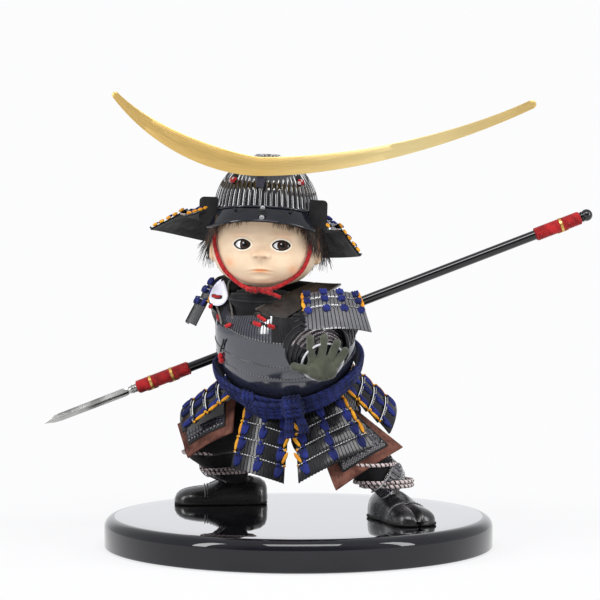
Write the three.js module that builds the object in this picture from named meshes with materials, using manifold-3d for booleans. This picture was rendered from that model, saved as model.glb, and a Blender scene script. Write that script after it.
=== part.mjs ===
// Samurai boy doll: a child figure in laced armour, lunging on a round lacquered board,
// with a crescent crest on the helmet and a long spear held behind the back.
// Millimetres and degrees, +Z up. The doll faces -Y, and its left side is at +X.
// The origin is the centre of the board's underside.

import * as THREE from "three";
import { mergeVertices } from "three/addons/utils/BufferGeometryUtils.js";
import Module from "manifold-3d";

const wasm = await Module();
wasm.setup();

// Clearance between two pieces that touch on the real doll
const FIT_GAP = 0.3;
// Clearance cut into stuffed cloth round what it wraps
const CLOTH_GAP = 0.9;
// Clearance round a piece that moves
const RUN_GAP = 0.6;

// Board, its felt and the screws that hold the shoes
const BOARD_RADIUS = 135;
const BOARD_HEIGHT = 21;
const BOARD_EDGE_RADIUS = 6;
const FELT_THICKNESS = 1;
const FELT_INSET = 6;
const SCREW_HEAD_RADIUS = 4;
const SCREW_HEAD_HEIGHT = 3;
const SCREW_SHANK_RADIUS = 1.75;
const SCREW_REACH = 12;

// Shoes, measured from the ankle: heel behind, toe in front
const SHOE_HEEL = 20;
const SHOE_TOE = 47;
const SHOE_HALF_WIDTH = 14.5;
const SHOE_HEIGHT = 20;
const SOLE_THICKNESS = 2.4;
const RIGHT_ANKLE = [-43, 64];
const RIGHT_SHOE_YAW = -86;
const LEFT_ANKLE = [64, -25];
const LEFT_SHOE_YAW = 22;

// Stuffed trouser legs on steel rods
const RIGHT_HIP = [-14, 12, 92];
const RIGHT_THIGH = [-42, 21, 82];
const RIGHT_KNEE = [-68, 31, 71];
const RIGHT_SHIN = [-57, 47, 56];
const LEFT_HIP = [9, 3, 92];
const LEFT_THIGH = [28, -16, 78];
const LEFT_KNEE = [46, -34, 62];
const LEFT_SHIN = [56, -30, 52];
const HIP_RADIUS = 16;
const THIGH_RADIUS = 18;
const KNEE_RADIUS = 15;
const SHIN_RADIUS = 12.5;
const ANKLE_RADIUS = 11;
const LEG_ROD_RADIUS = 1.6;

// Thigh aprons and shin guards
const APRON_THICKNESS = 1.6;
const APRON_BULGE = 3;
const RIGHT_APRON_HEM = [[-77, 16, 60], [-45, -13, 80.5]];
const RIGHT_APRON_TOP = [[-85, 32, 82], [-43.5, 3, 102]];
const LEFT_APRON_HEM = [[25, -56, 45], [70, -37, 72]];
const LEFT_APRON_TOP = [[7, -28, 90], [40, -9, 94]];
const SHIN_GUARD_THICKNESS = 1.4;
const SHIN_GUARD_HALF_ANGLE = 75;
const ANKLE_TIE_RADIUS = 1.5;
const ANKLE_TIE_LIFT = 4;

// Torso: the waist's place, the lean of the spine and the turn of the chest
const WAIST = [-5, 2, 113];
const TORSO_LEAN = 22;
const TORSO_TILT = -7;
const TORSO_TURN = -28;
const CORE_HIP_DEPTH = 26;
const CORE_TOP_DROP = 14;
const SHELL_THICKNESS = 1.8;
const LAME_BAND_OVERLAP = 3;
const LAME_BAND_TOP = 33;
const LAME_ROWS = 3;
const LAME_STEP = 0.6;
const BREAST_TOP = 66;
const BREAST_HALF_ANGLE = 46;
const BACK_HALF_ANGLE = 50;
const NECKLINE_DIP = 8;
const STRAP_WIDTH = 15;
const STRAP_THICKNESS = 1.6;
const RIGHT_STRAP_TOP = [-52, 2, 185];
const LEFT_STRAP_TOP = [17, -27, 181];
const LEAF_HANGER = [-51, -22, 186];
const LEAF_HEADING = -24;
const LEAF_WIDTH = 14;
const LEAF_LENGTH = 19;
const LEAF_THICKNESS = 1.2;

// Sash
const SASH_HEIGHT = 14;
const SASH_THICKNESS = 7;
const SASH_LEVEL = 14;
const SASH_FRONT_DIP = 10;

// Skirt panels: heading, half width and flare of each, and what they share
const PANEL_LENGTH = 45;
const PANEL_ROWS = 4;
const PANEL_ROW_STEP = 0.8;
const PANEL_THICKNESS = 1.1;
const PANEL_HANG = 1.5;
const PANEL_BOW = 2.5;
const PANEL_SPREAD = 0.16;

// Arms
const SHOULDER_LEFT = [31, -26, 161];
const ELBOW_LEFT = [23, -47, 147];
const WRIST_LEFT = [17.5, -67, 134];
const SHOULDER_RIGHT = [-40, 12, 167];
const ELBOW_RIGHT = [-48, 38, 162];
const WRIST_RIGHT = [-46, 52, 144];
const UPPER_SLEEVE_RADIUS = 15;
const SLEEVE_FULLNESS = 3;
const ELBOW_RADIUS = 14;
const CUFF_RADIUS = 15;
const RIGHT_CUFF_RADIUS = 10.5;
const ARM_WIRE_RADIUS = 1.2;
const PALM_HALF_WIDTH = 10.5;
const PALM_HALF_HEIGHT = 11.5;
const PALM_HALF_THICKNESS = 4;
const FINGER_RADIUS = 3.1;
const FIST_RADIUS = 9.5;

// Shoulder guards
const GUARD_HALF_WIDTH = 20;
const GUARD_LENGTH = 34;
const GUARD_ROWS = 3;
const GUARD_ROW_STEP = 0.9;
const GUARD_THICKNESS = 1.1;
const GUARD_BOW = 4;
const LEFT_GUARD_HINGE = [22, -41, 178];
const LEFT_GUARD_HEADING = 12;
const LEFT_GUARD_FLARE = 42;
const RIGHT_GUARD_HINGE = [-59.6, 5, 184.5];
const RIGHT_GUARD_HEADING = -80;
const RIGHT_GUARD_FLARE = 30;

// Head and neck
const NECK = [-24, -21, 177.6];
const HEAD_TILT = 2;
const HEAD_TURN = -6;
const NECK_PEG_RADIUS = 4;
const NECK_PEG_IN_HEAD = 26;
const NECK_PEG_IN_CORE = 28;
const THROAT_RADIUS = 19;
const EYE_RADIUS = 5.6;
const EYE_SPACING = 24.5;
const EYE_LEVEL = 32;
const EYE_PROUD = 1;
const EAR_LEVEL = 27;
const HAIR_THICKNESS = 3.2;
// How far the bowl leaves the wig short of its full thickness
const HAIR_PRESS = 0.2;
const CHIN_CORD_RADIUS = 1.5;

// Helmet
const BOWL_RADIUS = 36;
const BOWL_RIM = 55.5;
const BOWL_RISE = 36;
const BOWL_WALL = 1.6;
const VISOR_HALF_ANGLE = 54;
const VISOR_DROP = 10;
const VISOR_DROOP = 7.5;
const VISOR_REACH = 8;
const VISOR_THICKNESS = 1.4;
const NECK_GUARD_DROOP = 0.18;
const NECK_GUARD_BACK_DROOP = 0.2;
const NECK_GUARD_MIDDLE_RADIUS = 55;
const NECK_GUARD_OUTER_RADIUS = 73;
const NECK_GUARD_MIDDLE_LEVEL = 47;
const NECK_GUARD_LOW_LEVEL = 34;
const NECK_GUARD_THICKNESS = 1.3;
const TURNBACK_WIDTH = 12;
const TURNBACK_HEIGHT = 18;
const FINIAL_RADIUS = 10.5;
const FINIAL_HEIGHT = 3.6;
const HOLDER_WIDTH = 5;
const HOLDER_THICKNESS = 2.4;
const HOLDER_HEIGHT = 12;

// Crescent crest, measured from the foot of its lower edge
const CREST_RIGHT_REACH = 181;
const CREST_RIGHT_RISE = 45.5;
const CREST_LEFT_REACH = 100;
const CREST_LEFT_RISE = 52;
const CREST_DEPTH = 12.5;
const CREST_TIP_DEPTH = 5;
const CREST_THICKNESS = 1.4;
const CREST_LEVEL = 78;
const SOCKET_WALL = 1.4;
const CREST_ROLL = -1.5;

// Spear, measured along its shaft from the gripping hand
const GRIP = [-44, 54, 134.6];
const SPEAR_SLOPE = 21;
const SHAFT_RADIUS = 3.5;
const BLADE_LENGTH = 66;
const BLADE_HALF_WIDTH = 3.1;
const BLADE_HALF_THICKNESS = 1.7;
const FERRULE_LENGTH = 6;
const WRAP_RADIUS = 5;
const FRONT_WRAP_LENGTH = 40.5;
const FRONT_WRAP_END = -37;
const REAR_WRAP_LENGTH = 35;
const REAR_WRAP_END = 264.5;
const BUTT_RADIUS = 4.3;

// Corners closer than this are one corner after a cut
const SETTLE_TOLERANCE = 0.004;

const deg = THREE.MathUtils.degToRad;
const point = (x, y, z) => new THREE.Vector3(x, y, z);
const at = (xyz) => new THREE.Vector3(...xyz);

// Closed triangle mesh with its faces pointing out
function closedGeometry(points, triangles) {
  const volume = triangles.reduce((sum, [a, b, c]) => {
    return sum + points[a].dot(points[b].clone().cross(points[c]));
  }, 0);
  const facing = volume < 0 ? triangles.map(([a, b, c]) => [a, c, b]) : triangles;
  const geometry = new THREE.BufferGeometry().setFromPoints(points);
  geometry.setIndex(facing.flat());
  return geometry;
}

// Skin over a row of rings, closed at both ends by a fan, or joined end to end into a hoop
function loft(rings, hoop = false) {
  const sides = rings[0].length;
  const points = rings.flat();
  const triangles = [];
  const spans = hoop ? rings.length : rings.length - 1;
  for (let r = 0; r < spans; r++) {
    const next = (r + 1) % rings.length;
    for (let s = 0; s < sides; s++) {
      const t = (s + 1) % sides;
      const [a, b, c, d] = [r * sides + s, r * sides + t, next * sides + t, next * sides + s];
      triangles.push([a, b, c], [a, c, d]);
    }
  }
  if (!hoop) {
    [rings[0], rings.at(-1)].forEach((ring, end) => {
      const middle = points.length;
      const first = end * (rings.length - 1) * sides;
      points.push(ring.reduce((sum, p) => sum.add(p), point(0, 0, 0)).divideScalar(sides));
      for (let s = 0; s < sides; s++) {
        const t = (s + 1) % sides;
        triangles.push(end ? [first + s, first + t, middle] : [first + t, first + s, middle]);
      }
    });
  }
  return closedGeometry(points, triangles);
}

// Thick sheet over surface(u, v), both from 0 to 1; the thickness goes towards du x dv
function sheet(surface, thickness, across, along, wraps = false) {
  const nearby = 1e-3;
  const columns = wraps ? across : across + 1;
  const rows = along + 1;
  const inner = [];
  const outer = [];
  for (let i = 0; i < columns; i++) {
    for (let j = 0; j < rows; j++) {
      const [u, v] = [i / across, j / along];
      const here = surface(u, v);
      const du = surface(u + nearby, v).sub(surface(u - nearby, v));
      const dv = surface(u, Math.min(v + nearby, 1)).sub(surface(u, Math.max(v - nearby, 0)));
      inner.push(here);
      outer.push(here.clone().addScaledVector(du.cross(dv).normalize(), thickness));
    }
  }
  const count = inner.length;
  const triangles = [];
  const quad = (a, b, c, d) => triangles.push([a, b, c], [a, c, d]);
  const cell = (i, j) => (i % columns) * rows + j;
  for (let i = 0; i < across; i++) {
    for (let j = 0; j < along; j++) {
      const corners = [cell(i, j), cell(i + 1, j), cell(i + 1, j + 1), cell(i, j + 1)];
      quad(...corners.map((k) => k + count));
      quad(...corners.toReversed());
    }
    quad(cell(i, 0), cell(i + 1, 0), cell(i + 1, 0) + count, cell(i, 0) + count);
    quad(cell(i + 1, along), cell(i, along), cell(i, along) + count, cell(i + 1, along) + count);
  }
  if (!wraps) {
    for (let j = 0; j < along; j++) {
      quad(cell(0, j + 1), cell(0, j), cell(0, j) + count, cell(0, j + 1) + count);
      quad(cell(across, j), cell(across, j + 1), cell(across, j + 1) + count, cell(across, j) + count);
    }
  }
  return closedGeometry([...inner, ...outer], triangles);
}

// Round limb along a smooth path, with a radius at each of its points
function limb(path, radii, sides, steps) {
  const curve = new THREE.CatmullRomCurve3(path, false, "centripetal");
  const frames = curve.computeFrenetFrames(steps);
  const rings = [];
  for (let i = 0; i <= steps; i++) {
    const t = i / steps;
    const k = Math.min(Math.floor(t * (radii.length - 1)), radii.length - 2);
    const radius = THREE.MathUtils.lerp(radii[k], radii[k + 1], t * (radii.length - 1) - k);
    const centre = curve.getPoint(t);
    const [n, b] = frameAt(curve, frames, t, steps);
    const onRing = (c, s) => centre.clone().addScaledVector(n, radius * c).addScaledVector(b, radius * s);
    rings.push(circleOf(sides, onRing));
  }
  return loft(rings);
}

// Frenet frames are even in length along the curve, so the one nearest a point is found by its tangent
function frameAt(curve, frames, t, steps) {
  const tangent = curve.getTangent(t);
  const i = Math.round(t * steps);
  const n = frames.normals[i].clone().addScaledVector(tangent, -frames.normals[i].dot(tangent)).normalize();
  return [n, tangent.cross(n.clone())];
}

function circleOf(sides, place) {
  return Array.from({ length: sides }, (_, s) => {
    const a = (2 * Math.PI * s) / sides;
    return place(Math.cos(a), Math.sin(a));
  });
}

// Solid of revolution about Z, from [radius, height] pairs
function lathe(profile, sides) {
  const outline = profile.map(([r, z]) => new THREE.Vector2(r, z));
  return new THREE.LatheGeometry(outline, sides).rotateX(Math.PI / 2);
}

// The same about X, for pieces that lie along the spear
function latheAlongX(profile, sides) {
  return lathe(profile, sides).rotateY(Math.PI / 2);
}

// Tube of a round cord or wire, with closed ends
function cordTube(path, radius, sides, steps) {
  const section = new THREE.Shape().absarc(0, 0, radius, 0, 2 * Math.PI);
  const extrudePath = new THREE.CatmullRomCurve3(path, false, "centripetal");
  return new THREE.ExtrudeGeometry(section, { steps, extrudePath, curveSegments: sides / 2 });
}

function ellipsoid(centre, radii, sides = 12) {
  return new THREE.SphereGeometry(1, sides, Math.round(sides * 0.7))
    .scale(...radii)
    .translate(...centre);
}

// Between a geometry and a solid that can be cut or joined
function solidOf(geometry, tolerance = 1e-4) {
  const bare = geometry.clone();
  bare.deleteAttribute("normal");
  bare.deleteAttribute("uv");
  const merged = mergeVertices(bare, tolerance);
  const index = [];
  for (let i = 0; i < merged.index.count; i += 3) {
    const corners = [0, 1, 2].map((k) => merged.index.getX(i + k));
    if (new Set(corners).size === 3) index.push(...corners);
  }
  const triVerts = new Uint32Array(index);
  const vertProperties = new Float32Array(merged.attributes.position.array);
  return new wasm.Manifold(new wasm.Mesh({ numProp: 3, vertProperties, triVerts }));
}

function geometryOf(solid) {
  const mesh = solid.getMesh();
  const geometry = new THREE.BufferGeometry();
  geometry.setAttribute("position", new THREE.BufferAttribute(mesh.vertProperties, 3));
  geometry.setIndex(new THREE.BufferAttribute(mesh.triVerts, 1));
  return geometry;
}

function joined(...geometries) {
  return geometryOf(geometries.map((g) => solidOf(g)).reduce((sum, s) => sum.add(s)));
}

// A geometry with its surface moved out by a gap, to cut room for the piece in its neighbour
function grown(geometry, gap) {
  const bare = geometryOf(solidOf(geometry));
  bare.computeVertexNormals();
  const { position, normal } = bare.attributes;
  const least = new Float32Array(position.count).fill(1);
  const corner = (k) => point(0, 0, 0).fromBufferAttribute(position, k);
  const normalAt = (k) => point(0, 0, 0).fromBufferAttribute(normal, k);
  for (let i = 0; i < bare.index.count; i += 3) {
    const [a, b, c] = [0, 1, 2].map((k) => bare.index.getX(i + k));
    const face = corner(b).sub(corner(a)).cross(corner(c).sub(corner(a)));
    if (face.length() < 1e-6) continue;
    face.normalize();
    for (const k of [a, b, c]) least[k] = Math.min(least[k], face.dot(normalAt(k)));
  }
  for (let k = 0; k < position.count; k++) {
    const moved = corner(k).addScaledVector(normalAt(k), gap / Math.max(least[k], 0.4));
    position.setXYZ(k, ...moved.toArray());
  }
  return bare;
}

const figure = new THREE.Group();
const pieces = {};

function finish(colour, roughness, metalness = 0) {
  return new THREE.MeshStandardMaterial({ color: colour, roughness, metalness });
}

const LACQUER = finish(0x101014, 0.15);
const DARK_LEATHER = finish(0x2a2220, 0.6);
const BROWN_LEATHER = finish(0x6e443c, 0.75);
const BLACK_CLOTH = finish(0x141416, 0.9);
const NAVY_CORD = finish(0x1b2458, 0.85);
const RED_CORD = finish(0xa81c22, 0.8);
const SKIN = finish(0xe6c8a4, 0.45);
const HAIR = finish(0x3a2a20, 0.7);
const EYE = finish(0x2a1a14, 0.1);
const GLOVE = finish(0x5c6448, 0.85);
const GOLD = finish(0xd4ae58, 0.35, 1);
const STEEL = finish(0xb8b8b4, 0.3, 1);
const WOOD = finish(0xb08a5c, 0.7);
const WIRE = finish(0x8c8c90, 0.4, 1);
const FELT = finish(0x202024, 0.95);
const PALE_PLATE = finish(0xd8d8e4, 0.2, 0.4);

function add(parent, name, geometry, material) {
  const mesh = new THREE.Mesh(geometryOf(solidOf(geometry)), material);
  mesh.name = name;
  pieces[name] = mesh;
  parent.add(mesh);
  return mesh;
}

function frame(parent, position, rotation = [0, 0, 0], order = "XYZ") {
  const group = new THREE.Group();
  group.position.set(...position);
  group.rotation.set(...rotation.map(deg), order);
  parent.add(group);
  group.updateWorldMatrix(true, false);
  return group;
}

function largestBody(solid) {
  return solid.decompose().reduce((most, body) => (body.volume() > most.volume() ? body : most));
}

// Cuts room for the named neighbours into a piece, and drops any offcut
function makeRoom(name, neighbours, gap = FIT_GAP) {
  const mesh = pieces[name];
  const toMesh = mesh.matrixWorld.clone().invert();
  let solid = solidOf(mesh.geometry);
  for (const neighbour of neighbours) {
    const other = pieces[neighbour];
    const cutter = grown(other.geometry, gap).applyMatrix4(toMesh.clone().multiply(other.matrixWorld));
    solid = solid.subtract(solidOf(cutter));
  }
  const settled = solidOf(geometryOf(largestBody(solid)), SETTLE_TOLERANCE);
  mesh.geometry = geometryOf(largestBody(settled));
}

// Board, felt and shoe screws
const boardTop = FELT_THICKNESS + BOARD_HEIGHT;

function boardProfile() {
  const steps = 3;
  const profile = [
    [0, FELT_THICKNESS],
    [BOARD_RADIUS - 1, FELT_THICKNESS],
    [BOARD_RADIUS, FELT_THICKNESS + 1],
  ];
  for (let i = 0; i <= steps; i++) {
    const a = deg((90 * i) / steps);
    const inset = BOARD_EDGE_RADIUS * (1 - Math.cos(a));
    profile.push([BOARD_RADIUS - inset, boardTop - BOARD_EDGE_RADIUS * (1 - Math.sin(a))]);
  }
  profile.push([0, boardTop]);
  return profile;
}

function screwGeometry() {
  return lathe(
    [
      [0, FELT_THICKNESS + FIT_GAP],
      [SCREW_HEAD_RADIUS, FELT_THICKNESS + FIT_GAP],
      [SCREW_HEAD_RADIUS, FELT_THICKNESS + SCREW_HEAD_HEIGHT],
      [SCREW_SHANK_RADIUS, FELT_THICKNESS + SCREW_HEAD_HEIGHT],
      [SCREW_SHANK_RADIUS, boardTop + SCREW_REACH],
      [0, boardTop + SCREW_REACH],
    ],
    12,
  );
}

// The recess of a screw in the board runs down to the felt
function screwRoom() {
  const wide = SCREW_HEAD_RADIUS + FIT_GAP;
  const narrow = SCREW_SHANK_RADIUS + FIT_GAP;
  const shoulder = FELT_THICKNESS + SCREW_HEAD_HEIGHT + FIT_GAP;
  const above = boardTop + 1;
  return lathe([[0, 0], [wide, 0], [wide, shoulder], [narrow, shoulder], [narrow, above], [0, above]], 12);
}

const boardSolid = [RIGHT_ANKLE, LEFT_ANKLE].reduce(
  (solid, [x, y]) => solid.subtract(solidOf(screwRoom().translate(x, y, 0))),
  solidOf(lathe(boardProfile(), 48)),
);
add(figure, "base_board", geometryOf(boardSolid), LACQUER);
const feltRadius = BOARD_RADIUS - FELT_INSET;
const feltTop = FELT_THICKNESS;
add(figure, "base_felt", lathe([[0, 0], [feltRadius, 0], [feltRadius, feltTop], [0, feltTop]], 48), FELT);

// Shoes: flat-soled, domed over the toe, with a bore for the rod above and the screw below
function shoeGeometry() {
  const ring = (y, halfWidth, height) => {
    const arch = 9;
    const upper = Array.from({ length: arch }, (_, i) => {
      const a = (Math.PI * i) / (arch - 1);
      const z = SOLE_THICKNESS + (height - SOLE_THICKNESS) * Math.sin(a) ** 0.7;
      return point(halfWidth * Math.cos(a), y, z);
    });
    return [point(halfWidth * 1.03, y, 0), ...upper, point(-halfWidth * 1.03, y, 0)];
  };
  const toe = -SHOE_TOE;
  return loft([
    ring(SHOE_HEEL, SHOE_HALF_WIDTH * 0.45, SHOE_HEIGHT * 0.62),
    ring(SHOE_HEEL * 0.85, SHOE_HALF_WIDTH * 0.72, SHOE_HEIGHT * 0.85),
    ring(SHOE_HEEL * 0.4, SHOE_HALF_WIDTH * 0.88, SHOE_HEIGHT),
    ring(toe * 0.1, SHOE_HALF_WIDTH * 0.9, SHOE_HEIGHT),
    ring(toe * 0.35, SHOE_HALF_WIDTH * 0.92, SHOE_HEIGHT * 0.8),
    ring(toe * 0.6, SHOE_HALF_WIDTH, SHOE_HEIGHT * 0.65),
    ring(toe * 0.82, SHOE_HALF_WIDTH * 0.95, SHOE_HEIGHT * 0.56),
    ring(toe * 0.95, SHOE_HALF_WIDTH * 0.7, SHOE_HEIGHT * 0.42),
    ring(toe, SHOE_HALF_WIDTH * 0.3, SHOE_HEIGHT * 0.25),
  ]);
}

const legs = {
  right: {
    ankle: RIGHT_ANKLE,
    yaw: RIGHT_SHOE_YAW,
    path: [RIGHT_HIP, RIGHT_THIGH, RIGHT_KNEE, RIGHT_SHIN],
  },
  left: {
    ankle: LEFT_ANKLE,
    yaw: LEFT_SHOE_YAW,
    path: [LEFT_HIP, LEFT_THIGH, LEFT_KNEE, LEFT_SHIN],
  },
};
const ankleLevel = boardTop + SHOE_HEIGHT;
// The rod ends in the shoe above the screw's point
const rodFoot = boardTop + SCREW_REACH + 2;

for (const [side, { ankle, yaw, path }] of Object.entries(legs)) {
  const shoeFrame = frame(figure, [...ankle, boardTop + FIT_GAP], [0, 0, yaw]);
  add(shoeFrame, `shoe_${side}`, shoeGeometry(), LACQUER);
  add(frame(figure, [...ankle, 0]), `shoe_screw_${side}`, screwGeometry(), STEEL);
  const joints = path.map(at);
  const ankleTop = point(...ankle, ankleLevel - 2);
  const radii = [HIP_RADIUS, THIGH_RADIUS, KNEE_RADIUS, SHIN_RADIUS, ANKLE_RADIUS];
  add(figure, `trouser_leg_${side}`, limb([...joints, ankleTop], radii, 12, 8), BLACK_CLOTH);
  const rodPath = [...joints, point(...ankle, ankleLevel), point(...ankle, rodFoot)];
  add(figure, `leg_rod_${side}`, cordTube(rodPath, LEG_ROD_RADIUS, 6, 12), WIRE);
}

// Torso core, with the shell's outline at each height: half width and half depth
const OUTLINE = [
  [-CORE_HIP_DEPTH, 26, 23],
  [-9, 38, 34],
  [4, 40, 36],
  [18, 45, 40],
  [LAME_BAND_TOP, 47.5, 42],
  [47, 46.5, 40.5],
  [58, 44, 36.5],
  [BREAST_TOP, 38, 30],
  [BREAST_TOP + 6, 27, 20],
];

function outlineAt(z) {
  const below = OUTLINE.findLastIndex(([level]) => level <= z);
  const k = THREE.MathUtils.clamp(below, 0, OUTLINE.length - 2);
  const [low, high] = [OUTLINE[k], OUTLINE[k + 1]];
  const t = THREE.MathUtils.clamp((z - low[0]) / (high[0] - low[0]), 0, 1);
  return [THREE.MathUtils.lerp(low[1], high[1], t), THREE.MathUtils.lerp(low[2], high[2], t)];
}

// Point on the torso's outline; the heading is 0 at the chest and 90 at the doll's left
function onTorso(heading, z, proud = 0) {
  const [halfWidth, halfDepth] = outlineAt(z);
  const a = deg(heading);
  return point((halfWidth + proud) * Math.sin(a), -(halfDepth + proud) * Math.cos(a), z);
}

// How far the sash dips below its level at a heading
function sashDip(heading) {
  return SASH_FRONT_DIP * Math.max(0, Math.cos(deg(heading + TORSO_TURN))) ** 2;
}

// Level at which the skirt panels hang, just below the sash
function hemLevel(heading) {
  return SASH_LEVEL - sashDip(heading) - SASH_HEIGHT / 2 - PANEL_HANG;
}

const torso = frame(figure, WAIST, [TORSO_LEAN, TORSO_TILT, TORSO_TURN]);
const neck = frame(figure, NECK, [0, HEAD_TILT, HEAD_TURN]);
const coreSides = 20;
const coreTop = BREAST_TOP - CORE_TOP_DROP;
const coreLevels = [...OUTLINE.map(([z]) => z).filter((z) => z < coreTop), coreTop];
const coreRings = coreLevels.map((z) =>
  Array.from({ length: coreSides }, (_, s) => onTorso((360 * s) / coreSides, z, -3 * FIT_GAP)),
);
add(torso, "torso_core", loft(coreRings), BLACK_CLOTH);

// Waist lames: a closed band in rows, each row's foot standing a little proud of the next
function bandSurface(u, v) {
  const row = v * LAME_ROWS;
  const z = THREE.MathUtils.lerp(hemLevel(360 * u) - LAME_BAND_OVERLAP, LAME_BAND_TOP, v);
  return onTorso(360 * u, z, LAME_STEP * (Math.ceil(row) - row));
}
add(torso, "cuirass_waist_lames", sheet(bandSurface, SHELL_THICKNESS, 24, 6, true), LACQUER);

function chestSurface(middle, halfAngle, dip) {
  return (u, v) => {
    const side = 2 * u - 1;
    const top = BREAST_TOP - dip * (1 - side * side);
    return onTorso(middle + halfAngle * side, THREE.MathUtils.lerp(LAME_BAND_TOP + FIT_GAP, top, v), 0);
  };
}
const breastSurface = chestSurface(0, BREAST_HALF_ANGLE, NECKLINE_DIP);
add(torso, "breast_plate", sheet(breastSurface, SHELL_THICKNESS, 10, 4), LACQUER);
add(torso, "back_plate", sheet(chestSurface(180, BACK_HALF_ANGLE, 2), SHELL_THICKNESS, 10, 4), LACQUER);

// Shoulder straps, from the breast plate over the shoulder to the back plate
function strapSurface(side, shoulder, [frontHeading, frontLevel], slope) {
  const front = onTorso(frontHeading, frontLevel, SHELL_THICKNESS + 2 * FIT_GAP);
  const back = onTorso(180 - side * (BREAST_HALF_ANGLE - 14), BREAST_TOP - 5, SHELL_THICKNESS + 2 * FIT_GAP);
  const path = new THREE.CatmullRomCurve3([front, torso.worldToLocal(at(shoulder)), back]);
  return (u, v) => path.getPoint(v).add(point(side * STRAP_WIDTH * (u - 0.5), 0, -slope * (u - 0.5)));
}
const rightFront = [14 - BREAST_HALF_ANGLE, BREAST_TOP - 7];
const leftFront = [10, BREAST_TOP];
const rightStrap = sheet(strapSurface(-1, RIGHT_STRAP_TOP, rightFront, 5), STRAP_THICKNESS, 2, 10);
const leftStrap = sheet(strapSurface(1, LEFT_STRAP_TOP, leftFront, 9), STRAP_THICKNESS, 2, 10);
add(torso, "shoulder_strap_right", rightStrap, DARK_LEATHER);
add(torso, "shoulder_strap_left", leftStrap, DARK_LEATHER);

// Leaf-shaped plate on a cord at the right shoulder
function leafGeometry() {
  const [w, l] = [LEAF_WIDTH / 2, LEAF_LENGTH];
  const leaf = new THREE.Shape();
  leaf.moveTo(-w * 0.2, 0);
  leaf.bezierCurveTo(-w, -l * 0.3, -w * 1.1, -l, 0, -l);
  leaf.bezierCurveTo(w, -l, w * 1.3, -l * 0.6, w, -l * 0.45);
  leaf.bezierCurveTo(w * 0.6, -l * 0.25, w * 0.2, -l * 0.05, -w * 0.2, 0);
  const depth = LEAF_THICKNESS;
  const flat = new THREE.ExtrudeGeometry(leaf, { depth, bevelEnabled: false, curveSegments: 6 });
  return flat.rotateX(Math.PI / 2);
}

// Sash: a thick band round the waist that dips at the front
function sashRing(u) {
  const heading = 360 * u;
  const level = SASH_LEVEL - sashDip(heading);
  const [halfHeight, halfThick] = [SASH_HEIGHT / 2, SASH_THICKNESS / 2];
  const proud = SHELL_THICKNESS + LAME_STEP + 3 * FIT_GAP + halfThick;
  const out = onTorso(heading, level).setZ(0).normalize();
  return circleOf(8, (c, s) =>
    onTorso(heading, level, proud).addScaledVector(out, halfThick * c).add(point(0, 0, halfHeight * s)),
  );
}
const sashSteps = 26;
const sashGeometry = loft(Array.from({ length: sashSteps }, (_, i) => sashRing(i / sashSteps)), true);
add(torso, "sash", sashGeometry, NAVY_CORD);

// Sash knot at the front, with two short ends
const sashFront = -TORSO_TURN;
const knotPlace = onTorso(sashFront, SASH_LEVEL - SASH_FRONT_DIP, SHELL_THICKNESS + SASH_THICKNESS + 3);
const knot = frame(torso, knotPlace.toArray(), [0, 0, sashFront]);
const knotGeometry = joined(
  ellipsoid([0, 0, 1], [8, 5, 8], 12),
  limb([point(-2, -1, -2), point(-3.5, -7, -9), point(-4, -11, -15.5)], [3.4, 3.4, 3], 8, 6),
  limb([point(3, -1, -2), point(5.5, -8, -7.5), point(6.5, -12.5, -12.5)], [3.4, 3.4, 3], 8, 6),
);
add(knot, "sash_knot", knotGeometry, NAVY_CORD);

// Skirt panels: laced rows that hang from the band's hem, each hinged along its top edge
function panelSurface(halfWidth, length, rows, rowStep, bow, spread = PANEL_SPREAD, lean = 0) {
  return (u, v) => {
    const side = 2 * u - 1;
    const row = v * rows;
    const step = rowStep * (Math.floor(Math.min(row, rows - 1e-6)) + 1 - (row - Math.floor(row)) * 0.7);
    const across = halfWidth * side * (1 + spread * v) + lean * length * v;
    return point(across, bow * side * side - step, -length * v);
  };
}

function panelGeometry(halfWidth, spread, lean) {
  const surface = panelSurface(halfWidth, PANEL_LENGTH, PANEL_ROWS, PANEL_ROW_STEP, PANEL_BOW, spread, lean);
  return sheet(surface, PANEL_THICKNESS, 4, PANEL_ROWS * 2);
}

const PANELS = {
  front_right: { heading: -27, halfWidth: 16.5, flare: 21, spread: 0.22, lean: 0.21 },
  front_left: { heading: 25, halfWidth: 18.5, flare: 36, spread: 0.55, lean: -0.22 },
  side_left: { heading: 80, halfWidth: 15.5, flare: 38 },
  back_left: { heading: 129, halfWidth: 15.5, flare: 22 },
  back: { heading: 180, halfWidth: 15.5, flare: 20 },
  back_right: { heading: -136, halfWidth: 15.5, flare: 36 },
  side_right: { heading: -90, halfWidth: 16, flare: 48 },
};

function hemPoint(heading) {
  const turned = heading - TORSO_TURN;
  return torso.localToWorld(onTorso(turned, hemLevel(turned), SHELL_THICKNESS + RUN_GAP));
}

for (const [place, { heading, halfWidth, flare, spread, lean }] of Object.entries(PANELS)) {
  const along = hemPoint(heading + 10).sub(hemPoint(heading - 10)).normalize();
  const up = point(0, 0, 1).addScaledVector(along, -along.z).normalize();
  const inward = up.clone().cross(along);
  const hung = frame(figure, hemPoint(heading).toArray());
  hung.quaternion.setFromRotationMatrix(new THREE.Matrix4().makeBasis(along, inward, up));
  hung.rotateX(deg(-flare));
  hung.updateWorldMatrix(true, false);
  add(hung, `skirt_panel_${place}`, panelGeometry(halfWidth, spread, lean), LACQUER);
}

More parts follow.
